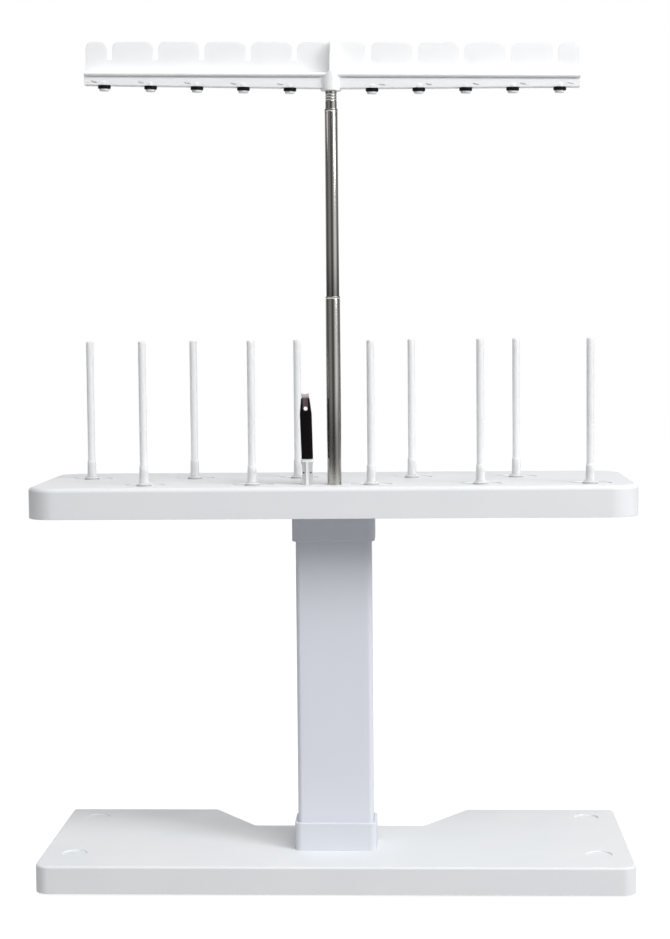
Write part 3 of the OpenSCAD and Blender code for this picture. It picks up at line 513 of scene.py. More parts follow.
@dataclass(frozen=True)
class Metal:
    """A bare metal face, drawn or turned.

    Attributes:
        name: The material's name.
        colour: Its colour, linear.
        shade: The colour of its darker streaks.
        roughness: Its roughness between the streaks.
        scale: Scale of its fine lines.
        stretch: How long the lines are for their width.
        depth: Height of the lines.
        marks: How much handling and wear show, from 0 to 1.
        shaded_below: Height below which the face is painted darker and mauve, a painted shade for a
            part sunk in a slot, or 0 for a face of one colour.
    """

    name: str
    colour: Colour
    shade: Colour
    roughness: float
    scale: float = 1500.0
    stretch: float = 40.0
    depth: float = 0.002 * MM
    marks: float = 1.0
    shaded_below: float = 0.0

    def make(self, textures: Textures) -> Material:
        """Builds the material.

        Args:
            textures: The shared shader groups.

        Returns:
            The material.
        """
        material, graph = new_material(self.name)
        place = graph.add("ShaderNodeTexCoord").outputs["Object"]
        lines = textures.drawn.place(graph, {
            "Vector": place, "Scale": self.scale, "Stretch": self.stretch}).outputs
        marks = textures.marks.place(graph, {"Vector": place, "Scale": 45.0, "Cover": 0.6}).outputs
        tone = graph.mix(graph.ranged(lines["Streak"], *MIDDLE), self.colour, self.shade)
        # Below a set height the colour turns darker and mauve: a painted shade for the part of the
        # tongue sunk in the handle's slot.
        if self.shaded_below:
            height = graph.add("ShaderNodeSeparateXYZ", {0: place}).outputs[2]
            bright = graph.ranged(height, self.shaded_below - PAINTED_SHADE_FADE, self.shaded_below + PAINTED_SHADE_FADE)
            sunk_shade = tuple(share * v for share, v in zip(PAINTED_SHADE_SHARE, self.shade))
            tone = graph.mix(bright, sunk_shade, tone)
        high = self.roughness + 0.05 * self.marks
        clean = graph.ranged(lines["Streak"], *MIDDLE, self.roughness, high)
        graph.feed(graph.tree.nodes["Principled BSDF"], {
            "Base Color": tone, "Metallic": 1.0, "Normal": graph.bump(lines["Height"], self.depth),
            "Roughness": graph.math("MULTIPLY_ADD", marks["Smudge"], 0.08 * self.marks, clean)})
        return material


class Palette(dict[str, Material]):
    """Every finish of the stand, by name; a material slot of the record has one of its own name."""

    GUIDE = Moulded("guide_white", (0.945, 0.96, 0.97), (0.935, 0.95, 0.965), Gloss.SOFT_GLOSS,
                    grain=1500.0, depth=0.005 * MM, marks=0.3, glow=0.5, glow_depth=2.5 * MM)
    FINISHES = (
        Moulded("shell_white", (0.825, 0.84, 0.855), (0.805, 0.825, 0.845), Gloss.SATIN,
                grain=1100.0, depth=0.012 * MM),
        # The holder's body: the same white plastic, darkened as a painted shade for the recesses
        # beside its ridge.
        Moulded("holder_painted_shade", (0.58, 0.585, 0.57), (0.5, 0.51, 0.5), Gloss.SATIN, grain=700.0,
                depth=0.03 * MM, marks=0.6),
        Moulded("column_paint", (0.74, 0.762, 0.827), (0.727, 0.748, 0.818), Gloss.SATIN,
                grain=260.0, coat=0.15),
        # The collars: darker than the shell's white they are made of, a painted shade for the
        # tray's shadow on the upper collar; the lower collar takes it too.
        Moulded("collar_painted_shade", (0.71, 0.735, 0.785), (0.695, 0.72, 0.775), Gloss.SATIN,
                grain=260.0),
        Moulded("plate_steel", (0.055, 0.056, 0.06), (0.045, 0.046, 0.05), Gloss.SATIN, grain=420.0,
                depth=0.03 * MM),
        Moulded("foot_rubber", (0.02, 0.02, 0.021), (0.03, 0.03, 0.03), Gloss.MATTE, grain=1500.0,
                depth=0.03 * MM, marks=0.8),
        Metal("screw_steel", (0.5, 0.5, 0.51), (0.42, 0.42, 0.43), 0.3, scale=900.0, stretch=4.0),
        Moulded("pin_white", (0.81, 0.815, 0.82), (0.795, 0.8, 0.81), Gloss.SATIN, grain=1600.0,
                depth=0.004 * MM, marks=0.3, glow=1.0, glow_depth=6.0 * MM),
        # The rings are thin washers; their grey is partly their own colour and partly a painted
        # shade for the contact shadow under each pin's flange.
        Moulded("ring_grey", (0.5, 0.51, 0.52), (0.47, 0.48, 0.49), Gloss.MATTE, grain=1600.0,
                depth=0.01 * MM),
        # Also used on the holder, where it colours the walls of its two blind dots: a painted shade
        # in those holes.
        Moulded("plug_black", (0.03, 0.03, 0.032), (0.02, 0.02, 0.022), Gloss.MATTE, grain=1600.0),
        Metal("mast_chrome", (0.5, 0.49, 0.465), (0.48, 0.47, 0.445), 0.11, depth=0.0002 * MM,
              marks=0.2),
        Metal("sleeve_brass", (0.68, 0.45, 0.18), (0.6, 0.38, 0.14), 0.3),
        GUIDE, replace(GUIDE, name="guide_relief", glow=0.0),
        Moulded("disc_black", (0.007, 0.007, 0.008), (0.01, 0.01, 0.011), Gloss.SATIN, grain=1500.0,
                depth=0.006 * MM, mirror=0.05),
        Moulded("handle_black", (0.005, 0.0045, 0.0045), (0.007, 0.006, 0.006), Gloss.SATIN,
                grain=1400.0, depth=0.01 * MM, marks=0.7, mirror=0.03),
        # Its lower part carries a painted shade, where it sits sunk in the handle's slot.
        Metal("tongue_steel", (0.68, 0.67, 0.65), (0.58, 0.56, 0.55), 0.4, scale=900.0, stretch=8.0,
              shaded_below=416.9 * MM),
    )

    def __init__(self) -> None:
        """Makes the materials."""
        textures = Textures()
        super().__init__({finish.name: finish.make(textures) for finish in self.FINISHES})
        self.slots = {part["node"]: part["material_slot"] for part in frame["record"]["subparts"]}

    def dress(self, *nodes: str) -> None:
        """Gives CAD nodes the finish of their own material slot.

        Args:
            nodes: The CAD nodes.
        """
        for name in nodes:
            part = frame["nodes"][name]
            material = self[self.slots[name]]
            for holder in part.material_slots:
                holder.material = material
            if not part.material_slots:
                part.data.materials.append(material)
            LOG.info("node %s dressed in %s", name, self.slots[name])

    def cover(self, node: str, edge: Soften, finish: str | None = None) -> None:
        """Puts a rounded and painted copy of one of the stand's nodes in the node's place.

        Args:
            node: The CAD node.
            edge: How its edges are rounded.
            finish: Its finish, where that isn't the one of its own slot.
        """
        piece = edge.copy_of(node)
        paint(piece, self[finish or self.slots[node]])
        mount(piece, "stand", self.slots[node], node)


# ---- Turned forms ----


class Forms:
    """The Geometry Nodes trees: a turned form, and the two patterns that repeat one."""

    RING = 0.01 * MM
    COPIES = 10

    def __init__(self) -> None:
        """Builds each tree once."""
        self.turned = self._turned()
        self.single = self._single()
        self.zigzag = self._zigzag()
        self.row = self._row()

    def _turned(self) -> Group:
        """Turns a profile in the XZ plane round Z."""
        made = Group("turned_form", {"Profile": Socket.GEOMETRY, "Segments": 48},
                     {"Mesh": Socket.GEOMETRY}, "GeometryNodeTree")
        graph, source = made.graph, made.source
        place = graph.add("GeometryNodeInputPosition").outputs[0]
        apart = graph.add("ShaderNodeSeparateXYZ", {0: place}).outputs
        flat = graph.add("ShaderNodeCombineXYZ", {
            0: graph.math("SUBTRACT", apart[0], self.RING),
            1: graph.math("MULTIPLY", apart[2], -1.0)})
        laid = graph.add("GeometryNodeSetPosition", {
            "Geometry": source["Profile"], "Position": flat})
        line = graph.add("GeometryNodeMeshToCurve", {"Mesh": laid})
        circle = graph.add("GeometryNodeCurvePrimitiveCircle", {
            "Resolution": source["Segments"], "Radius": self.RING})
        upright = graph.add("GeometryNodeSetCurveNormal", {"Curve": circle}, mode="Z_UP")
        swept = graph.add("GeometryNodeCurveToMesh", {"Curve": upright, "Profile Curve": line})
        merged = graph.add("GeometryNodeMergeByDistance", {"Geometry": swept, "Distance": WELD})
        made.give("Mesh", merged.outputs[0])
        return made

    @staticmethod
    def _tree(name: str, *sizes: str) -> Group:
        """Starts a tree that places a turned form, with the named inputs besides the form's."""
        takes = {"Profile": Socket.GEOMETRY, **dict.fromkeys(sizes, 0.0), "Segments": 48,
                 "Material": Socket.MATERIAL}
        return Group(name, takes, {"Mesh": Socket.GEOMETRY}, "GeometryNodeTree")

    def _form(self, made: Group) -> NodeSocket:
        """Adds the turned form to a tree and returns its socket."""
        taken = {name: made.source[name] for name in ("Profile", "Segments")}
        return self.turned.place(made.graph, taken).outputs[0]

    @staticmethod
    def _finish(made: Group, geometry: NodeSocket) -> Group:
        """Ends a tree in Realize Instances and Set Material.

        Args:
            made: The tree.
            geometry: What its steps have made.

        Returns:
            The tree.
        """
        real = made.graph.add("GeometryNodeRealizeInstances", {0: geometry})
        done = made.graph.add("GeometryNodeSetMaterial", {
            "Geometry": real, "Material": made.source["Material"]})
        made.give("Mesh", done.outputs[0])
        return made

    def _single(self) -> Group:
        """One turned form, set on an upright axis."""
        made = self._tree("turned_piece", "Axis X", "Axis Y", "Foot Z")
        axis = [made.source[name] for name in ("Axis X", "Axis Y", "Foot Z")]
        spot = made.graph.add("ShaderNodeCombineXYZ", dict(enumerate(axis)))
        moved = made.graph.add("GeometryNodeTransform", {
            "Geometry": self._form(made), "Translation": spot})
        return self._finish(made, moved.outputs[0])

    def _counted(self, graph: Graph) -> tuple[NodeSocket, NodeSocket, NodeSocket]:
        """Numbers the copies outwards from the middle.

        Args:
            graph: The tree to add to.

        Returns:
            The copy's number, its number from the middle, and -1 or 1 for its side.
        """
        index = graph.add("GeometryNodeInputIndex").outputs[0]
        centred = graph.math("SUBTRACT", index, (self.COPIES - 1) / 2)
        outwards = graph.math("FLOOR", graph.math("ABSOLUTE", centred))
        return index, outwards, graph.math("SIGN", centred)

    def _copies(self, made: Group, *places: NodeSocket) -> Group:
        """Sets copies of the turned form at computed places and ends the tree.

        Args:
            made: The tree.
            places: The X, Y and Z of each copy.

        Returns:
            The tree.
        """
        graph = made.graph
        spots = graph.add("GeometryNodeMeshLine", {"Count": self.COPIES})
        place = graph.add("ShaderNodeCombineXYZ", dict(enumerate(places)))
        moved = graph.add("GeometryNodeSetPosition", {"Geometry": spots, "Position": place})
        copies = graph.add("GeometryNodeInstanceOnPoints", {
            "Points": moved, "Instance": self._form(made)})
        return self._finish(made, copies.outputs[0])

    def _zigzag(self) -> Group:
        """Copies that step between a front row and a back row."""
        made = self._tree("zigzag_rows", "First X", "Step X", "Row Pitch", "Front Y", "Back Y",
                          "Foot Z")
        graph, source = made.graph, made.source
        index, outwards, side = self._counted(graph)
        pair = graph.math("FLOOR", graph.math("DIVIDE", outwards, 2.0))
        odd = graph.math("MODULO", outwards, 2.0)
        along = graph.math("MULTIPLY_ADD", pair, source["Row Pitch"], source["First X"])
        reach = graph.math("MULTIPLY_ADD", odd, source["Step X"], along)
        in_front = graph.math("MODULO", index, 2.0)
        y = graph.ranged(in_front, 0.0, 1.0, source["Back Y"], source["Front Y"])
        return self._copies(made, graph.math("MULTIPLY", side, reach), y, source["Foot Z"])

    def _row(self) -> Group:
        """Copies along the guide's beam, whose underside rises towards its ends."""
        made = self._tree("guide_row", "Mast X", "Mast Y", "First X", "Pitch", "Low Z", "High Z",
                          "Hub Radius", "Half Length")
        graph, source = made.graph, made.source
        _, outwards, side = self._counted(graph)
        reach = graph.math("MULTIPLY_ADD", outwards, source["Pitch"], source["First X"])
        x = graph.math("MULTIPLY_ADD", side, reach, source["Mast X"])
        z = graph.ranged(reach, *(source[name] for name in (
            "Hub Radius", "Half Length", "Low Z", "High Z")))
        return self._copies(made, x, source["Mast Y"], z)


def arc(centre: Point2, radius: float, start: float, end: float, steps: int = 8) -> list[Point2]:
    """Returns points along an arc between two angles in degrees, ends included."""
    turns = [math.radians(start + (end - start) * k / steps) for k in range(steps + 1)]
    return [(centre[0] + radius * math.cos(a), centre[1] + radius * math.sin(a)) for a in turns]


# ---- Sub-assemblies ----


@dataclass
class Base:
    """The weighted base: a moulded cover over a steel plate on four rubber feet."""

    palette: Palette
    edge: Soften = Soften(0.9 * MM, 3)

    def build(self) -> None:
        """Makes the cover and dresses what is under it."""
        self.palette.cover("base_cover", self.edge)
        self.palette.dress("base_plate", "rubber_feet", "foot_screws", "base_screws")


@dataclass
class Column:
    """The square column between its two collars."""

    palette: Palette
    tube_edge: Soften = Soften(0.4 * MM, 2)
    collar_edge: Soften = Soften(0.7 * MM, 3)

    def build(self) -> None:
        """Makes the tube and both collars and dresses their fasteners."""
        self.palette.cover("column_tube", self.tube_edge)
        # Both collars take the darker copy of the white: a painted shade for the tray's shadow on
        # the upper one.
        for node in ("lower_collar", "upper_collar"):
            self.palette.cover(node, self.collar_edge, "collar_painted_shade")
        self.palette.dress("lower_collar_bolts", "upper_collar_bolts", "column_screws")


@dataclass
class Tray:
    """The tray that carries the spool pins and the mast."""

    palette: Palette
    edge: Soften = Soften(0.5 * MM, 2)

    def build(self) -> None:
        """Makes the shell and the floor and dresses the steel inside."""
        for node in ("tray_shell", "tray_floor"):
            self.palette.cover(node, self.edge)
        self.palette.dress("tray_bracket", "tray_screws", "mast_clamp", "clamp_screws",
                           "mast_set_screw", "mast_stop_plug", "pin_screws")


@dataclass
class SpoolPins:
    """Ten turned pins in a zigzag, each on a thin ring in its own dish; the ring's grey is a
    painted shade under the pin's flange.
    """

    palette: Palette
    forms: Forms
    first_x: float = 33.2 * MM
    step_x: float = 34.2 * MM
    row_pitch: float = 91.8 * MM
    front_y: float = -60.0 * MM
    back_y: float = 19.0 * MM
    ring_z: float = 342.7 * MM
    ring_t: float = 0.8 * MM
    ring_r: float = 6.6 * MM
    bore_r: float = 2.3 * MM
    height: float = 121.3 * MM
    radius: float = 3.2 * MM
    boss_l: float = 15.8 * MM
    boss_top_r: float = 3.7 * MM
    boss_foot_r: float = 3.95 * MM
    flange_r: float = 6.1 * MM
    flange_t: float = 1.4 * MM

    def build(self) -> None:
        """Makes the pins and the rings."""
        places = {"First X": self.first_x, "Step X": self.step_x, "Row Pitch": self.row_pitch,
                  "Front Y": self.front_y, "Back Y": self.back_y, "Segments": 64}
        pins = [f"spool_pin_{k}" for k in range(1, Forms.COPIES + 1)]
        for name, profile, foot, slot, nodes in (
                ("spool_pins", self._pin(), self.ring_z + self.ring_t, "pin_white", pins),
                ("pin_rings_dressed", self._ring(), self.ring_z, "ring_grey", ["pin_rings"])):
            piece = grow(name, profile, self.forms.zigzag, {
                **places, "Foot Z": foot, "Material": self.palette[slot]})
            mount(piece, "stand", slot, *nodes)

    def _pin(self) -> list[Point2]:
        """Profile of a pin: bore, flange, flared boss with a lip, straight shaft, round tip."""
        half = self.flange_t / 2
        flare = 0.9 * MM
        lip = 0.22 * MM
        tip = 1.1 * MM
        dome = 4.2 * MM
        bore_l = 12.0 * MM
        bore_r = self.bore_r - 0.25 * MM
        return [
            (0.0, bore_l), (bore_r, bore_l), (bore_r, 0.0),
            *arc((self.flange_r - half, half), half, -90, 78),
            *arc((self.boss_foot_r + flare, self.flange_t + flare), flare, 262, 184),
            (self.boss_top_r + 0.02 * MM, self.boss_l - 1.0 * MM),
            *arc((self.boss_top_r - lip, self.boss_l - lip), lip, 10, 80, 4),
            (self.radius, self.boss_l + 0.16 * MM),
            *arc((self.radius - tip, self.height - tip), tip, 0, 64, 7),
            *arc((0.0, self.height - dome), dome, 64, 90, 6),
        ]

    def _ring(self) -> list[Point2]:
        """Profile of a ring with a soft outer edge."""
        soft = 0.25 * MM
        return [
            (self.bore_r, 0.0), (self.ring_r, 0.0),
            *arc((self.ring_r - soft, self.ring_t - soft), soft, 0, 90, 5),
            (self.bore_r, self.ring_t),
        ]


@dataclass
class Mast:
    """Three drawn tubes that slide in each other; each has its radius, foot and top."""

    palette: Palette
    forms: Forms
    axis: Point2 = (2.4 * MM, -66.0 * MM)
    wall: float = 0.3 * MM
    play: float = 0.08 * MM
    lip_l: float = 2.0 * MM
    lip_step: float = 0.35 * MM
    soft: float = 0.28 * MM
    lower: Point3 = (6.0 * MM, 325.5 * MM, 500.9 * MM)
    middle: Point3 = (5.4 * MM, 482.6 * MM, 655.4 * MM)
    upper: Point3 = (4.8 * MM, 497.4 * MM, 683.9 * MM)
    hub_z: float = 670.3 * MM
    groove_low: float = 3.4 * MM
    groove_pitch: float = 2.2 * MM
    groove_depth: float = 0.3 * MM
    groove_share: float = 0.34

    def build(self) -> None:
        """Makes the tubes and dresses the sleeves."""
        self._tube("mast_lower_tube", "stand", self.lower, self.middle[0] + self.play, [])
        self._tube("mast_middle_tube", "mast_middle", self.middle, self.upper[0] + self.play, [])
        grooves = [self.hub_z - self.groove_low - k * self.groove_pitch for k in (2, 1, 0)]
        self._tube("mast_upper_tube", "mast_upper", self.upper, self.upper[0] - 0.4 * MM, grooves)
        self.palette.dress("middle_slide_sleeve", "upper_slide_sleeve")

    def _tube(self, node: str, body: str, size: Point3, lip_bore: float,
              grooves: list[float]) -> None:
        """Makes one tube.

        Args:
            node: The CAD node that it stands for.
            body: The body it rides on.
            size: Its outer radius, its foot and its top.
            lip_bore: Radius of the opening at its rolled-in top.
            grooves: Heights of the rolled grooves round it.
        """
        radius, foot, top = size
        length = top - foot
        soft, step, lip = self.soft, self.lip_step, top - foot - self.lip_l
        inner = min(radius - self.wall, lip_bore)
        outside: list[Point2] = [(radius, 0.0)]
        for height in grooves:
            for turn in (math.radians(20 * k) for k in range(10)):
                outside.append((
                    radius - self.groove_depth * math.sin(turn),
                    height - foot - self.groove_pitch * self.groove_share * math.cos(turn)))
        if not grooves:
            outside += [
                (radius, lip - step), (radius - 0.1 * MM, lip), (radius + 0.02 * MM, lip + step)]
        line = [
            *outside, *arc((radius - soft, length - soft), soft, 0, 82, 5), (inner, length),
            (inner, lip), (radius - self.wall, lip), (radius - self.wall, 0.0),
        ]
        tube = grow(f"{node}_dressed", line, self.forms.single, {
            "Axis X": self.axis[0], "Axis Y": self.axis[1], "Foot Z": foot, "Segments": 96,
            "Material": self.palette["mast_chrome"]})
        mount(tube, body, "mast_chrome", node)


@dataclass
class ThreadGuide:
    """The comb-shaped guide with its ten thread discs."""

    palette: Palette
    forms: Forms
    mast: Mast
    edge: Soften = Soften(0.35 * MM, 2)
    slot_first: float = 30.6 * MM
    slot_pitch: float = 38.65 * MM
    disc_offset: float = 3.4 * MM
    beam_low: float = 2.0 * MM
    beam_high: float = 4.0 * MM
    hub_r: float = 8.5 * MM
    half: float = 205.0 * MM
    ledge_z: float = 11.2 * MM
    beam_front: float = 4.2 * MM
    groove_h: float = 1.2 * MM
    groove_depth: float = 1.5 * MM
    disc_r: float = 5.3 * MM
    disc_t: float = 2.9 * MM
    disc_rim: float = 0.85 * MM
    disc_bore_r: float = 1.4 * MM
    cap_r: float = 4.1 * MM
    cap_t: float = 1.7 * MM
    cap_edge: float = 0.5 * MM
    stem_r: float = 1.2 * MM
    stem_l: float = 4.0 * MM
    comb_front_y: float = -62.3 * MM
    numeral_size: float = 10.032 * MM
    numeral_z: float = 697.2 * MM
    numeral_shift: float = 8.8 * MM
    numeral_rise: float = 0.05 * MM
    numeral_edge: float = 0.01 * MM
    lean: float = 1.0

    def build(self) -> None:
        """Makes the bar, the discs, the caps and the slot numbers."""
        bar = self.edge.copy_of("guide_bar", self._groove())
        paint(bar, self.palette["guide_white"])
        self._mount(bar, "guide_white", "guide_bar")
        discs = [f"thread_disc_{k}" for k in range(1, Forms.COPIES + 1)]
        self._row("thread_discs", self._disc(), "disc_black", *discs)
        self._row("disc_caps_dressed", self._cap(), "guide_white", "disc_caps")
        self._numerals()
        self.palette.dress("guide_screw")

    def _groove(self) -> Object:
        """Makes the cutter of the thin groove between the ledge and the beam.

        Returns:
            The cutter, which the bar's copy consumes.
        """
        x, y = self.mast.axis
        top = self.mast.hub_z + self.ledge_z + 0.01 * MM
        front = y - self.beam_front - 1.0 * MM
        near, far = self.hub_r + 0.6 * MM, self.half + 1.0 * MM
        size = Vector((far - near, 1.0 * MM + self.groove_depth, self.groove_h))
        solid = bmesh.new()
        for side in Side:
            box = bmesh.ops.create_cube(solid, size=1.0)["verts"]
            middle = (x + side.value * (near + far) / 2, front + size.y / 2, top - size.z / 2)
            place = Matrix.Translation(middle) @ Matrix.Diagonal((*size, 1.0))
            bmesh.ops.transform(solid, verts=box, matrix=place)
        mesh = bpy.data.meshes.new("groove_cutter")
        solid.to_mesh(mesh)
        solid.free()
        return put("groove_cutter", mesh)

    def _mount(self, piece: Object, slot: str, *nodes: str) -> None:
        """Lets a piece hang a little to one side, by the play of the hub, and mounts it."""
        lean(piece, Vector((*self.mast.axis, self.mast.hub_z)), self.lean)
        mount(piece, "guide", slot, *nodes)

    def _row(self, name: str, profile: list[Point2], slot: str, *nodes: str) -> None:
        """Makes ten turned pieces along the beam.

        Args:
            name: The piece's name.
            profile: Its profile, with height 0 at the beam's underside.
            slot: Its material slot.
            nodes: The CAD nodes that it stands for.
        """
        piece = grow(name, profile, self.forms.row, {
            "Mast X": self.mast.axis[0], "Mast Y": self.mast.axis[1],
            "First X": self.slot_first + self.disc_offset, "Pitch": self.slot_pitch,
            "Low Z": self.mast.hub_z + self.beam_low, "High Z": self.mast.hub_z + self.beam_high,
            "Hub Radius": self.hub_r, "Half Length": self.half, "Segments": 48,
            "Material": self.palette[slot]})
        self._mount(piece, slot, *nodes)

    def _disc(self) -> list[Point2]:
        """Profile of a thread disc: a dark lens with a full round rim."""
        low, rim = -self.disc_t, self.disc_rim
        return [
            (self.disc_bore_r, low), (self.cap_r + 0.1 * MM, low),
            *arc((self.disc_r - rim, low + rim + 0.1 * MM), rim, -55, 0, 5),
            *arc((self.disc_r - rim, -rim), rim, 0, 80, 5),
            (self.disc_bore_r, 0.0),
        ]

    def _cap(self) -> list[Point2]:
        """Profile of a cap with its stem."""
        top, low, edge, rim = -self.disc_t, -self.disc_t - self.cap_t, self.cap_edge, 0.2 * MM
        return [
            (0.0, low), *arc((self.cap_r - edge, low + edge), edge, -90, 0, 6),
            *arc((self.cap_r - rim, top - rim), rim, 0, 90, 3),
            (self.stem_r, top), (self.stem_r, self.stem_l), (0.0, self.stem_l),
        ]

    def _numerals(self) -> None:
        """Makes the raised slot numbers from 1 to 10 as one piece."""
        joined = bmesh.new()
        for number in range(Forms.COPIES):
            centred = number - (Forms.COPIES - 1) / 2
            side = Side.LEFT if centred < 0 else Side.RIGHT
            reach = self.slot_first + self.slot_pitch * math.floor(abs(centred))
            slot_x = self.mast.axis[0] + side.value * reach
            curve = bpy.data.curves.new(f"numeral_{number + 1}", "FONT")
            curve.body = str(number + 1)
            curve.size = self.numeral_size
            curve.align_x = curve.align_y = "CENTER"
            curve.extrude = self.numeral_rise / 2
            curve.bevel_depth = self.numeral_edge
            curve.resolution_u = 4
            holder = put(curve.name, curve)
            flat = plain_mesh(holder)
            bpy.data.objects.remove(holder)
            bpy.data.curves.remove(curve)
            spot = (slot_x + self.numeral_shift, self.comb_front_y, self.numeral_z)
            flat.transform(Matrix.Translation(spot) @ Matrix.Rotation(math.radians(90), 4, "X"))
            joined.from_mesh(flat)
            bpy.data.meshes.remove(flat)
        bmesh.ops.remove_doubles(joined, verts=joined.verts[:], dist=WELD)
        mesh = bpy.data.meshes.new("slot_numerals")
        joined.to_mesh(mesh)
        joined.free()
        piece = put("slot_numerals", mesh)
        shade(piece, 40.0)
        paint(piece, self.palette["guide_relief"])
        self._mount(piece, "guide_white")


@dataclass
class HandTool:
    """The small threading tool in its holder on the tray."""

    palette: Palette
    holder_edge: Soften = Soften(0.4 * MM, 3)
    handle_edge: Soften = Soften(0.8 * MM, 4)
    tongue_edge: Soften = Soften(0.25 * MM, 2)
    seat: Point3 = (-20.2 * MM, -66.0 * MM, 365.4 * MM)
    lean: float = -1.5
    rim_h: float = 2.6 * MM
    body_front: float = -4.4 * MM
    dot_x: float = 3.0 * MM
    dot_drop: float = 11.4 * MM
    dot_r: float = 0.72 * MM

    def build(self) -> None:
        """Makes the holder, the handle and the tongue and dresses the shank."""
        holder = self.holder_edge.copy_of("tool_holder")
        self._paint_holder(holder)
        mount(holder, "stand", "shell_white", "tool_holder")
        for node, edge, slot in (("tool_handle", self.handle_edge, "handle_black"),
                                 ("tool_tongue", self.tongue_edge, "tongue_steel")):
            piece = edge.copy_of(node)
            paint(piece, self.palette[slot])
            lean(piece, Vector(self.seat), self.lean)
            mount(piece, "hand_tool", slot, node)
        self.palette.dress("tool_shank", "holder_screw")

    def _paint_holder(self, holder: Object) -> None:
        """Paints the holder: pale rim and ridge; its body darker, a painted shade for the recesses
        beside the ridge; and the walls of its two small blind dots black, a painted shade in those
        holes.

        Args:
            holder: The holder, which is split below its rim.
        """
        paint(holder, *(self.palette[name] for name in (
            "shell_white", "holder_painted_shade", "plug_black")))
        x, y, top = self.seat
        solid = bmesh.new()
        solid.from_mesh(holder.data)
        bmesh.ops.bisect_plane(solid, geom=solid.verts[:] + solid.edges[:] + solid.faces[:],
                               plane_co=(x, y, top - self.rim_h), plane_no=(0.0, 0.0, 1.0))
        solid.to_mesh(holder.data)
        solid.free()
        for face in holder.data.polygons:
            across, depth, height = face.center.x - x, face.center.y - y, face.center.z
            in_dot = (abs(abs(across) - self.dot_x) < self.dot_r
                      and self.body_front + 0.05 * MM < depth < 0.0
                      and abs(height - top + self.dot_drop) < self.dot_r)
            on_ridge = depth < self.body_front - 0.1 * MM
            # The walls of the two blind dots turn black: a painted shade in the holes.
            if in_dot:
                face.material_index = 2
            # Body faces below the rim and off the ridge take the darker finish: painted shade.
            elif not on_ridge and height < top - self.rim_h:
                face.material_index = 1


# ---- Studio ----


@dataclass(frozen=True)
class Eye:
    """The camera's place, turn and focal length."""

    place: Point3 = (69.051 * MM, -1654.738 * MM, 467.582 * MM)
    yaw: float = 2.383
    pitch: float = 4.009
    roll: float = 0.52
    focal_pixels: float = 1899.317
    sensor: float = 36.0

    def build(self) -> None:
        """Adds the camera and makes it the scene's own."""
        data = bpy.data.cameras.new("eye")
        data.sensor_fit = "HORIZONTAL"
        data.sensor_width = self.sensor
        data.lens = self.focal_pixels * self.sensor / FRAME_WIDTH
        data.clip_end = 60.0
        camera = put("eye", data)
        place = Matrix.Translation(self.place)
        for degrees, axis in ((self.yaw, "Z"), (90.0 - self.pitch, "X"), (-self.roll, "Z")):
            place = place @ Matrix.Rotation(math.radians(degrees), 4, axis)
        camera.matrix_world = place
        bpy.context.scene.camera = camera


@dataclass(frozen=True)
class SoftBox:
    """One broad lamp that points at the middle of the stand."""

    name: str
    place: Point3
    size: Point2
    power: float
    aim: Point3 = (0.0, -0.02, 0.34)

    def build(self) -> None:
        """Adds the lamp."""
        data = bpy.data.lights.new(self.name, "AREA")
        data.shape = "RECTANGLE"
        data.size, data.size_y = self.size
        data.energy = self.power
        way = Vector(self.aim) - Vector(self.place)
        turn = way.to_track_quat("-Z", "Y").to_matrix().to_4x4()
        put(self.name, data).matrix_world = Matrix.Translation(self.place) @ turn


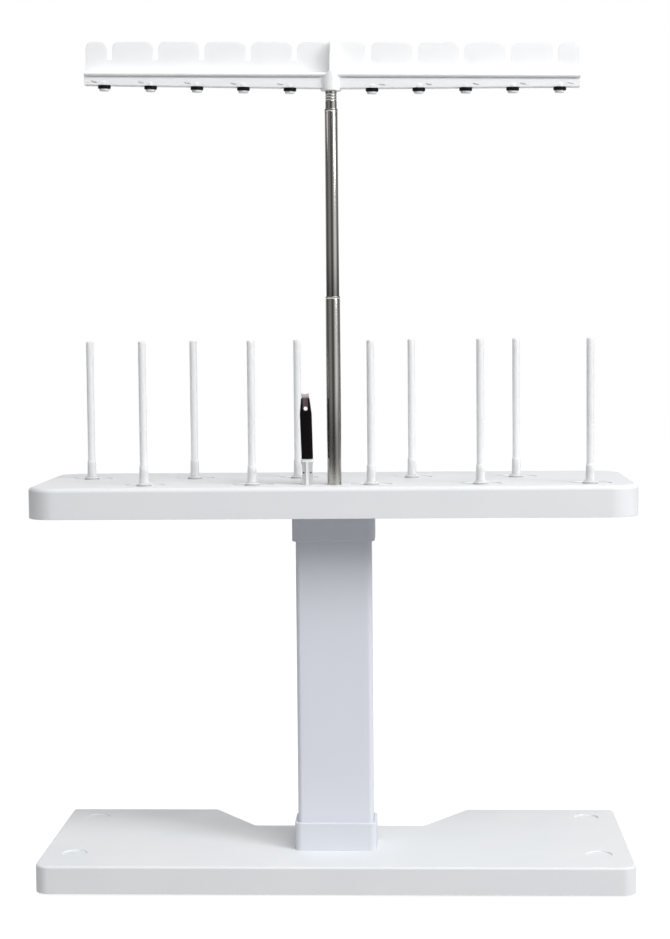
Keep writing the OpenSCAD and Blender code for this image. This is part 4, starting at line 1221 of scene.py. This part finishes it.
@dataclass
class Studio:
    """Floor, surroundings and lamps."""

    floor_half: float = 9.0
    fill: float = 0.345
    lamps: list[SoftBox] = field(default_factory=lambda: [
        SoftBox("key", (1.5, -3.3, 4.4), (3.9, 3.6), 167.0),
        SoftBox("right", (2.1, -1.3, 1.9), (1.0, 1.4), 40.0),
        SoftBox("left", (-2.6, -0.65, 1.9), (1.0, 1.0), 4.0),
    ])
    walls: tuple[Point2, ...] = (
        (0.0, 0.35), (0.08, 0.3), (0.15, 0.12), (0.22, 0.03), (0.29, 0.06), (0.35, 0.13),
        (0.4, 0.14), (0.45, 0.07), (0.5, 0.015), (0.55, 0.08), (0.6, 0.34), (0.655, 0.44),
        (0.71, 0.3), (0.775, 0.06), (0.85, 0.07), (0.93, 0.3), (1.0, 0.35))

    def build(self) -> None:
        """Adds the floor, the world and the lamps."""
        self._floor()
        self._world()
        for lamp in self.lamps:
            lamp.build()
        bpy.context.scene.view_settings.view_transform = "Standard"

    def _floor(self) -> None:
        """A pale floor that keeps the stand's shadow."""
        half = self.floor_half
        mesh = bpy.data.meshes.new("studio_floor")
        corners = [(-half, -half, 0), (half, -half, 0), (half, half, 0), (-half, half, 0)]
        mesh.from_pydata(corners, [], [(0, 1, 2, 3)])
        floor = put("studio_floor", mesh)
        material, graph = new_material("pale_floor")
        graph.tree.nodes.clear()
        path = graph.add("ShaderNodeLightPath").outputs
        matte = graph.add("ShaderNodeBsdfDiffuse", {"Color": (0.3, 0.3, 0.3)})
        glow = graph.add("ShaderNodeEmission", {"Strength": 0.9})
        seen = graph.add("ShaderNodeAddShader", {0: matte, 1: glow})
        bounce = graph.add("ShaderNodeBsdfDiffuse", {"Color": (0.36, 0.36, 0.365)})
        direct = graph.math("MAXIMUM", path["Is Camera Ray"], path["Is Glossy Ray"])
        mix = graph.add("ShaderNodeMixShader", {0: direct, 1: bounce, 2: seen})
        graph.add("ShaderNodeOutputMaterial", {"Surface": mix})
        paint(floor, material)

    def _world(self) -> None:
        """White behind the stand, soft even light on it, and bright and dark walls in metal."""
        world = bpy.data.worlds.new("studio")
        bpy.context.scene.world = world
        world.use_nodes = True
        graph = Graph(world.node_tree)
        graph.tree.nodes.clear()
        path = graph.add("ShaderNodeLightPath").outputs
        seen = graph.mix(path["Is Camera Ray"], self._room(graph), WHITE)
        direct = graph.math("MAXIMUM", path["Is Camera Ray"], path["Is Glossy Ray"])
        direct = graph.math("MAXIMUM", direct, path["Is Transmission Ray"])
        back = graph.add("ShaderNodeBackground", {
            "Color": graph.mix(direct, WHITE, seen),
            "Strength": graph.ranged(direct, 0.0, 1.0, self.fill, 1.0)})
        graph.add("ShaderNodeOutputWorld", {"Surface": back})

    def _room(self, graph: Graph) -> NodeSocket:
        """What gloss mirrors: upright bright and dark walls round the stand, paler higher up.

        Args:
            graph: The world's tree.

        Returns:
            The wall colour's socket.
        """
        way = graph.add("ShaderNodeTexCoord").outputs["Generated"]
        apart = graph.add("ShaderNodeSeparateXYZ", {0: way}).outputs
        turn = graph.math("ARCTAN2", apart[0], graph.math("MULTIPLY", apart[1], -1.0))
        share = graph.math("MULTIPLY_ADD", turn, 0.5 / math.pi, 0.5)
        ramp = graph.add("ShaderNodeValToRGB", {0: share})
        bands = ramp.color_ramp
        bands.interpolation = "B_SPLINE"
        for k, (at, level) in enumerate(self.walls):
            stop = bands.elements[k] if k < 2 else bands.elements.new(at)
            stop.position = at
            stop.color = (level, level, level, 1.0)
        higher = graph.ranged(apart[2], 0.035, 0.11, 1.0, 2.7)
        return graph.add("ShaderNodeVectorMath", {
            0: ramp, "Scale": higher}, operation="SCALE").outputs[0]


def main() -> None:
    """Builds the stand and its studio in order."""
    logging.basicConfig(level=logging.INFO, format="%(name)s: %(message)s")
    Eye().build()
    palette = Palette()
    forms = Forms()
    mast = Mast(palette, forms)
    for part in (Base(palette), Column(palette), Tray(palette), SpoolPins(palette, forms), mast,
                 ThreadGuide(palette, forms, mast), HandTool(palette)):
        LOG.info("building %s", type(part).__name__)
        part.build()
    Studio().build()


if __name__ == "__main__":
    main()
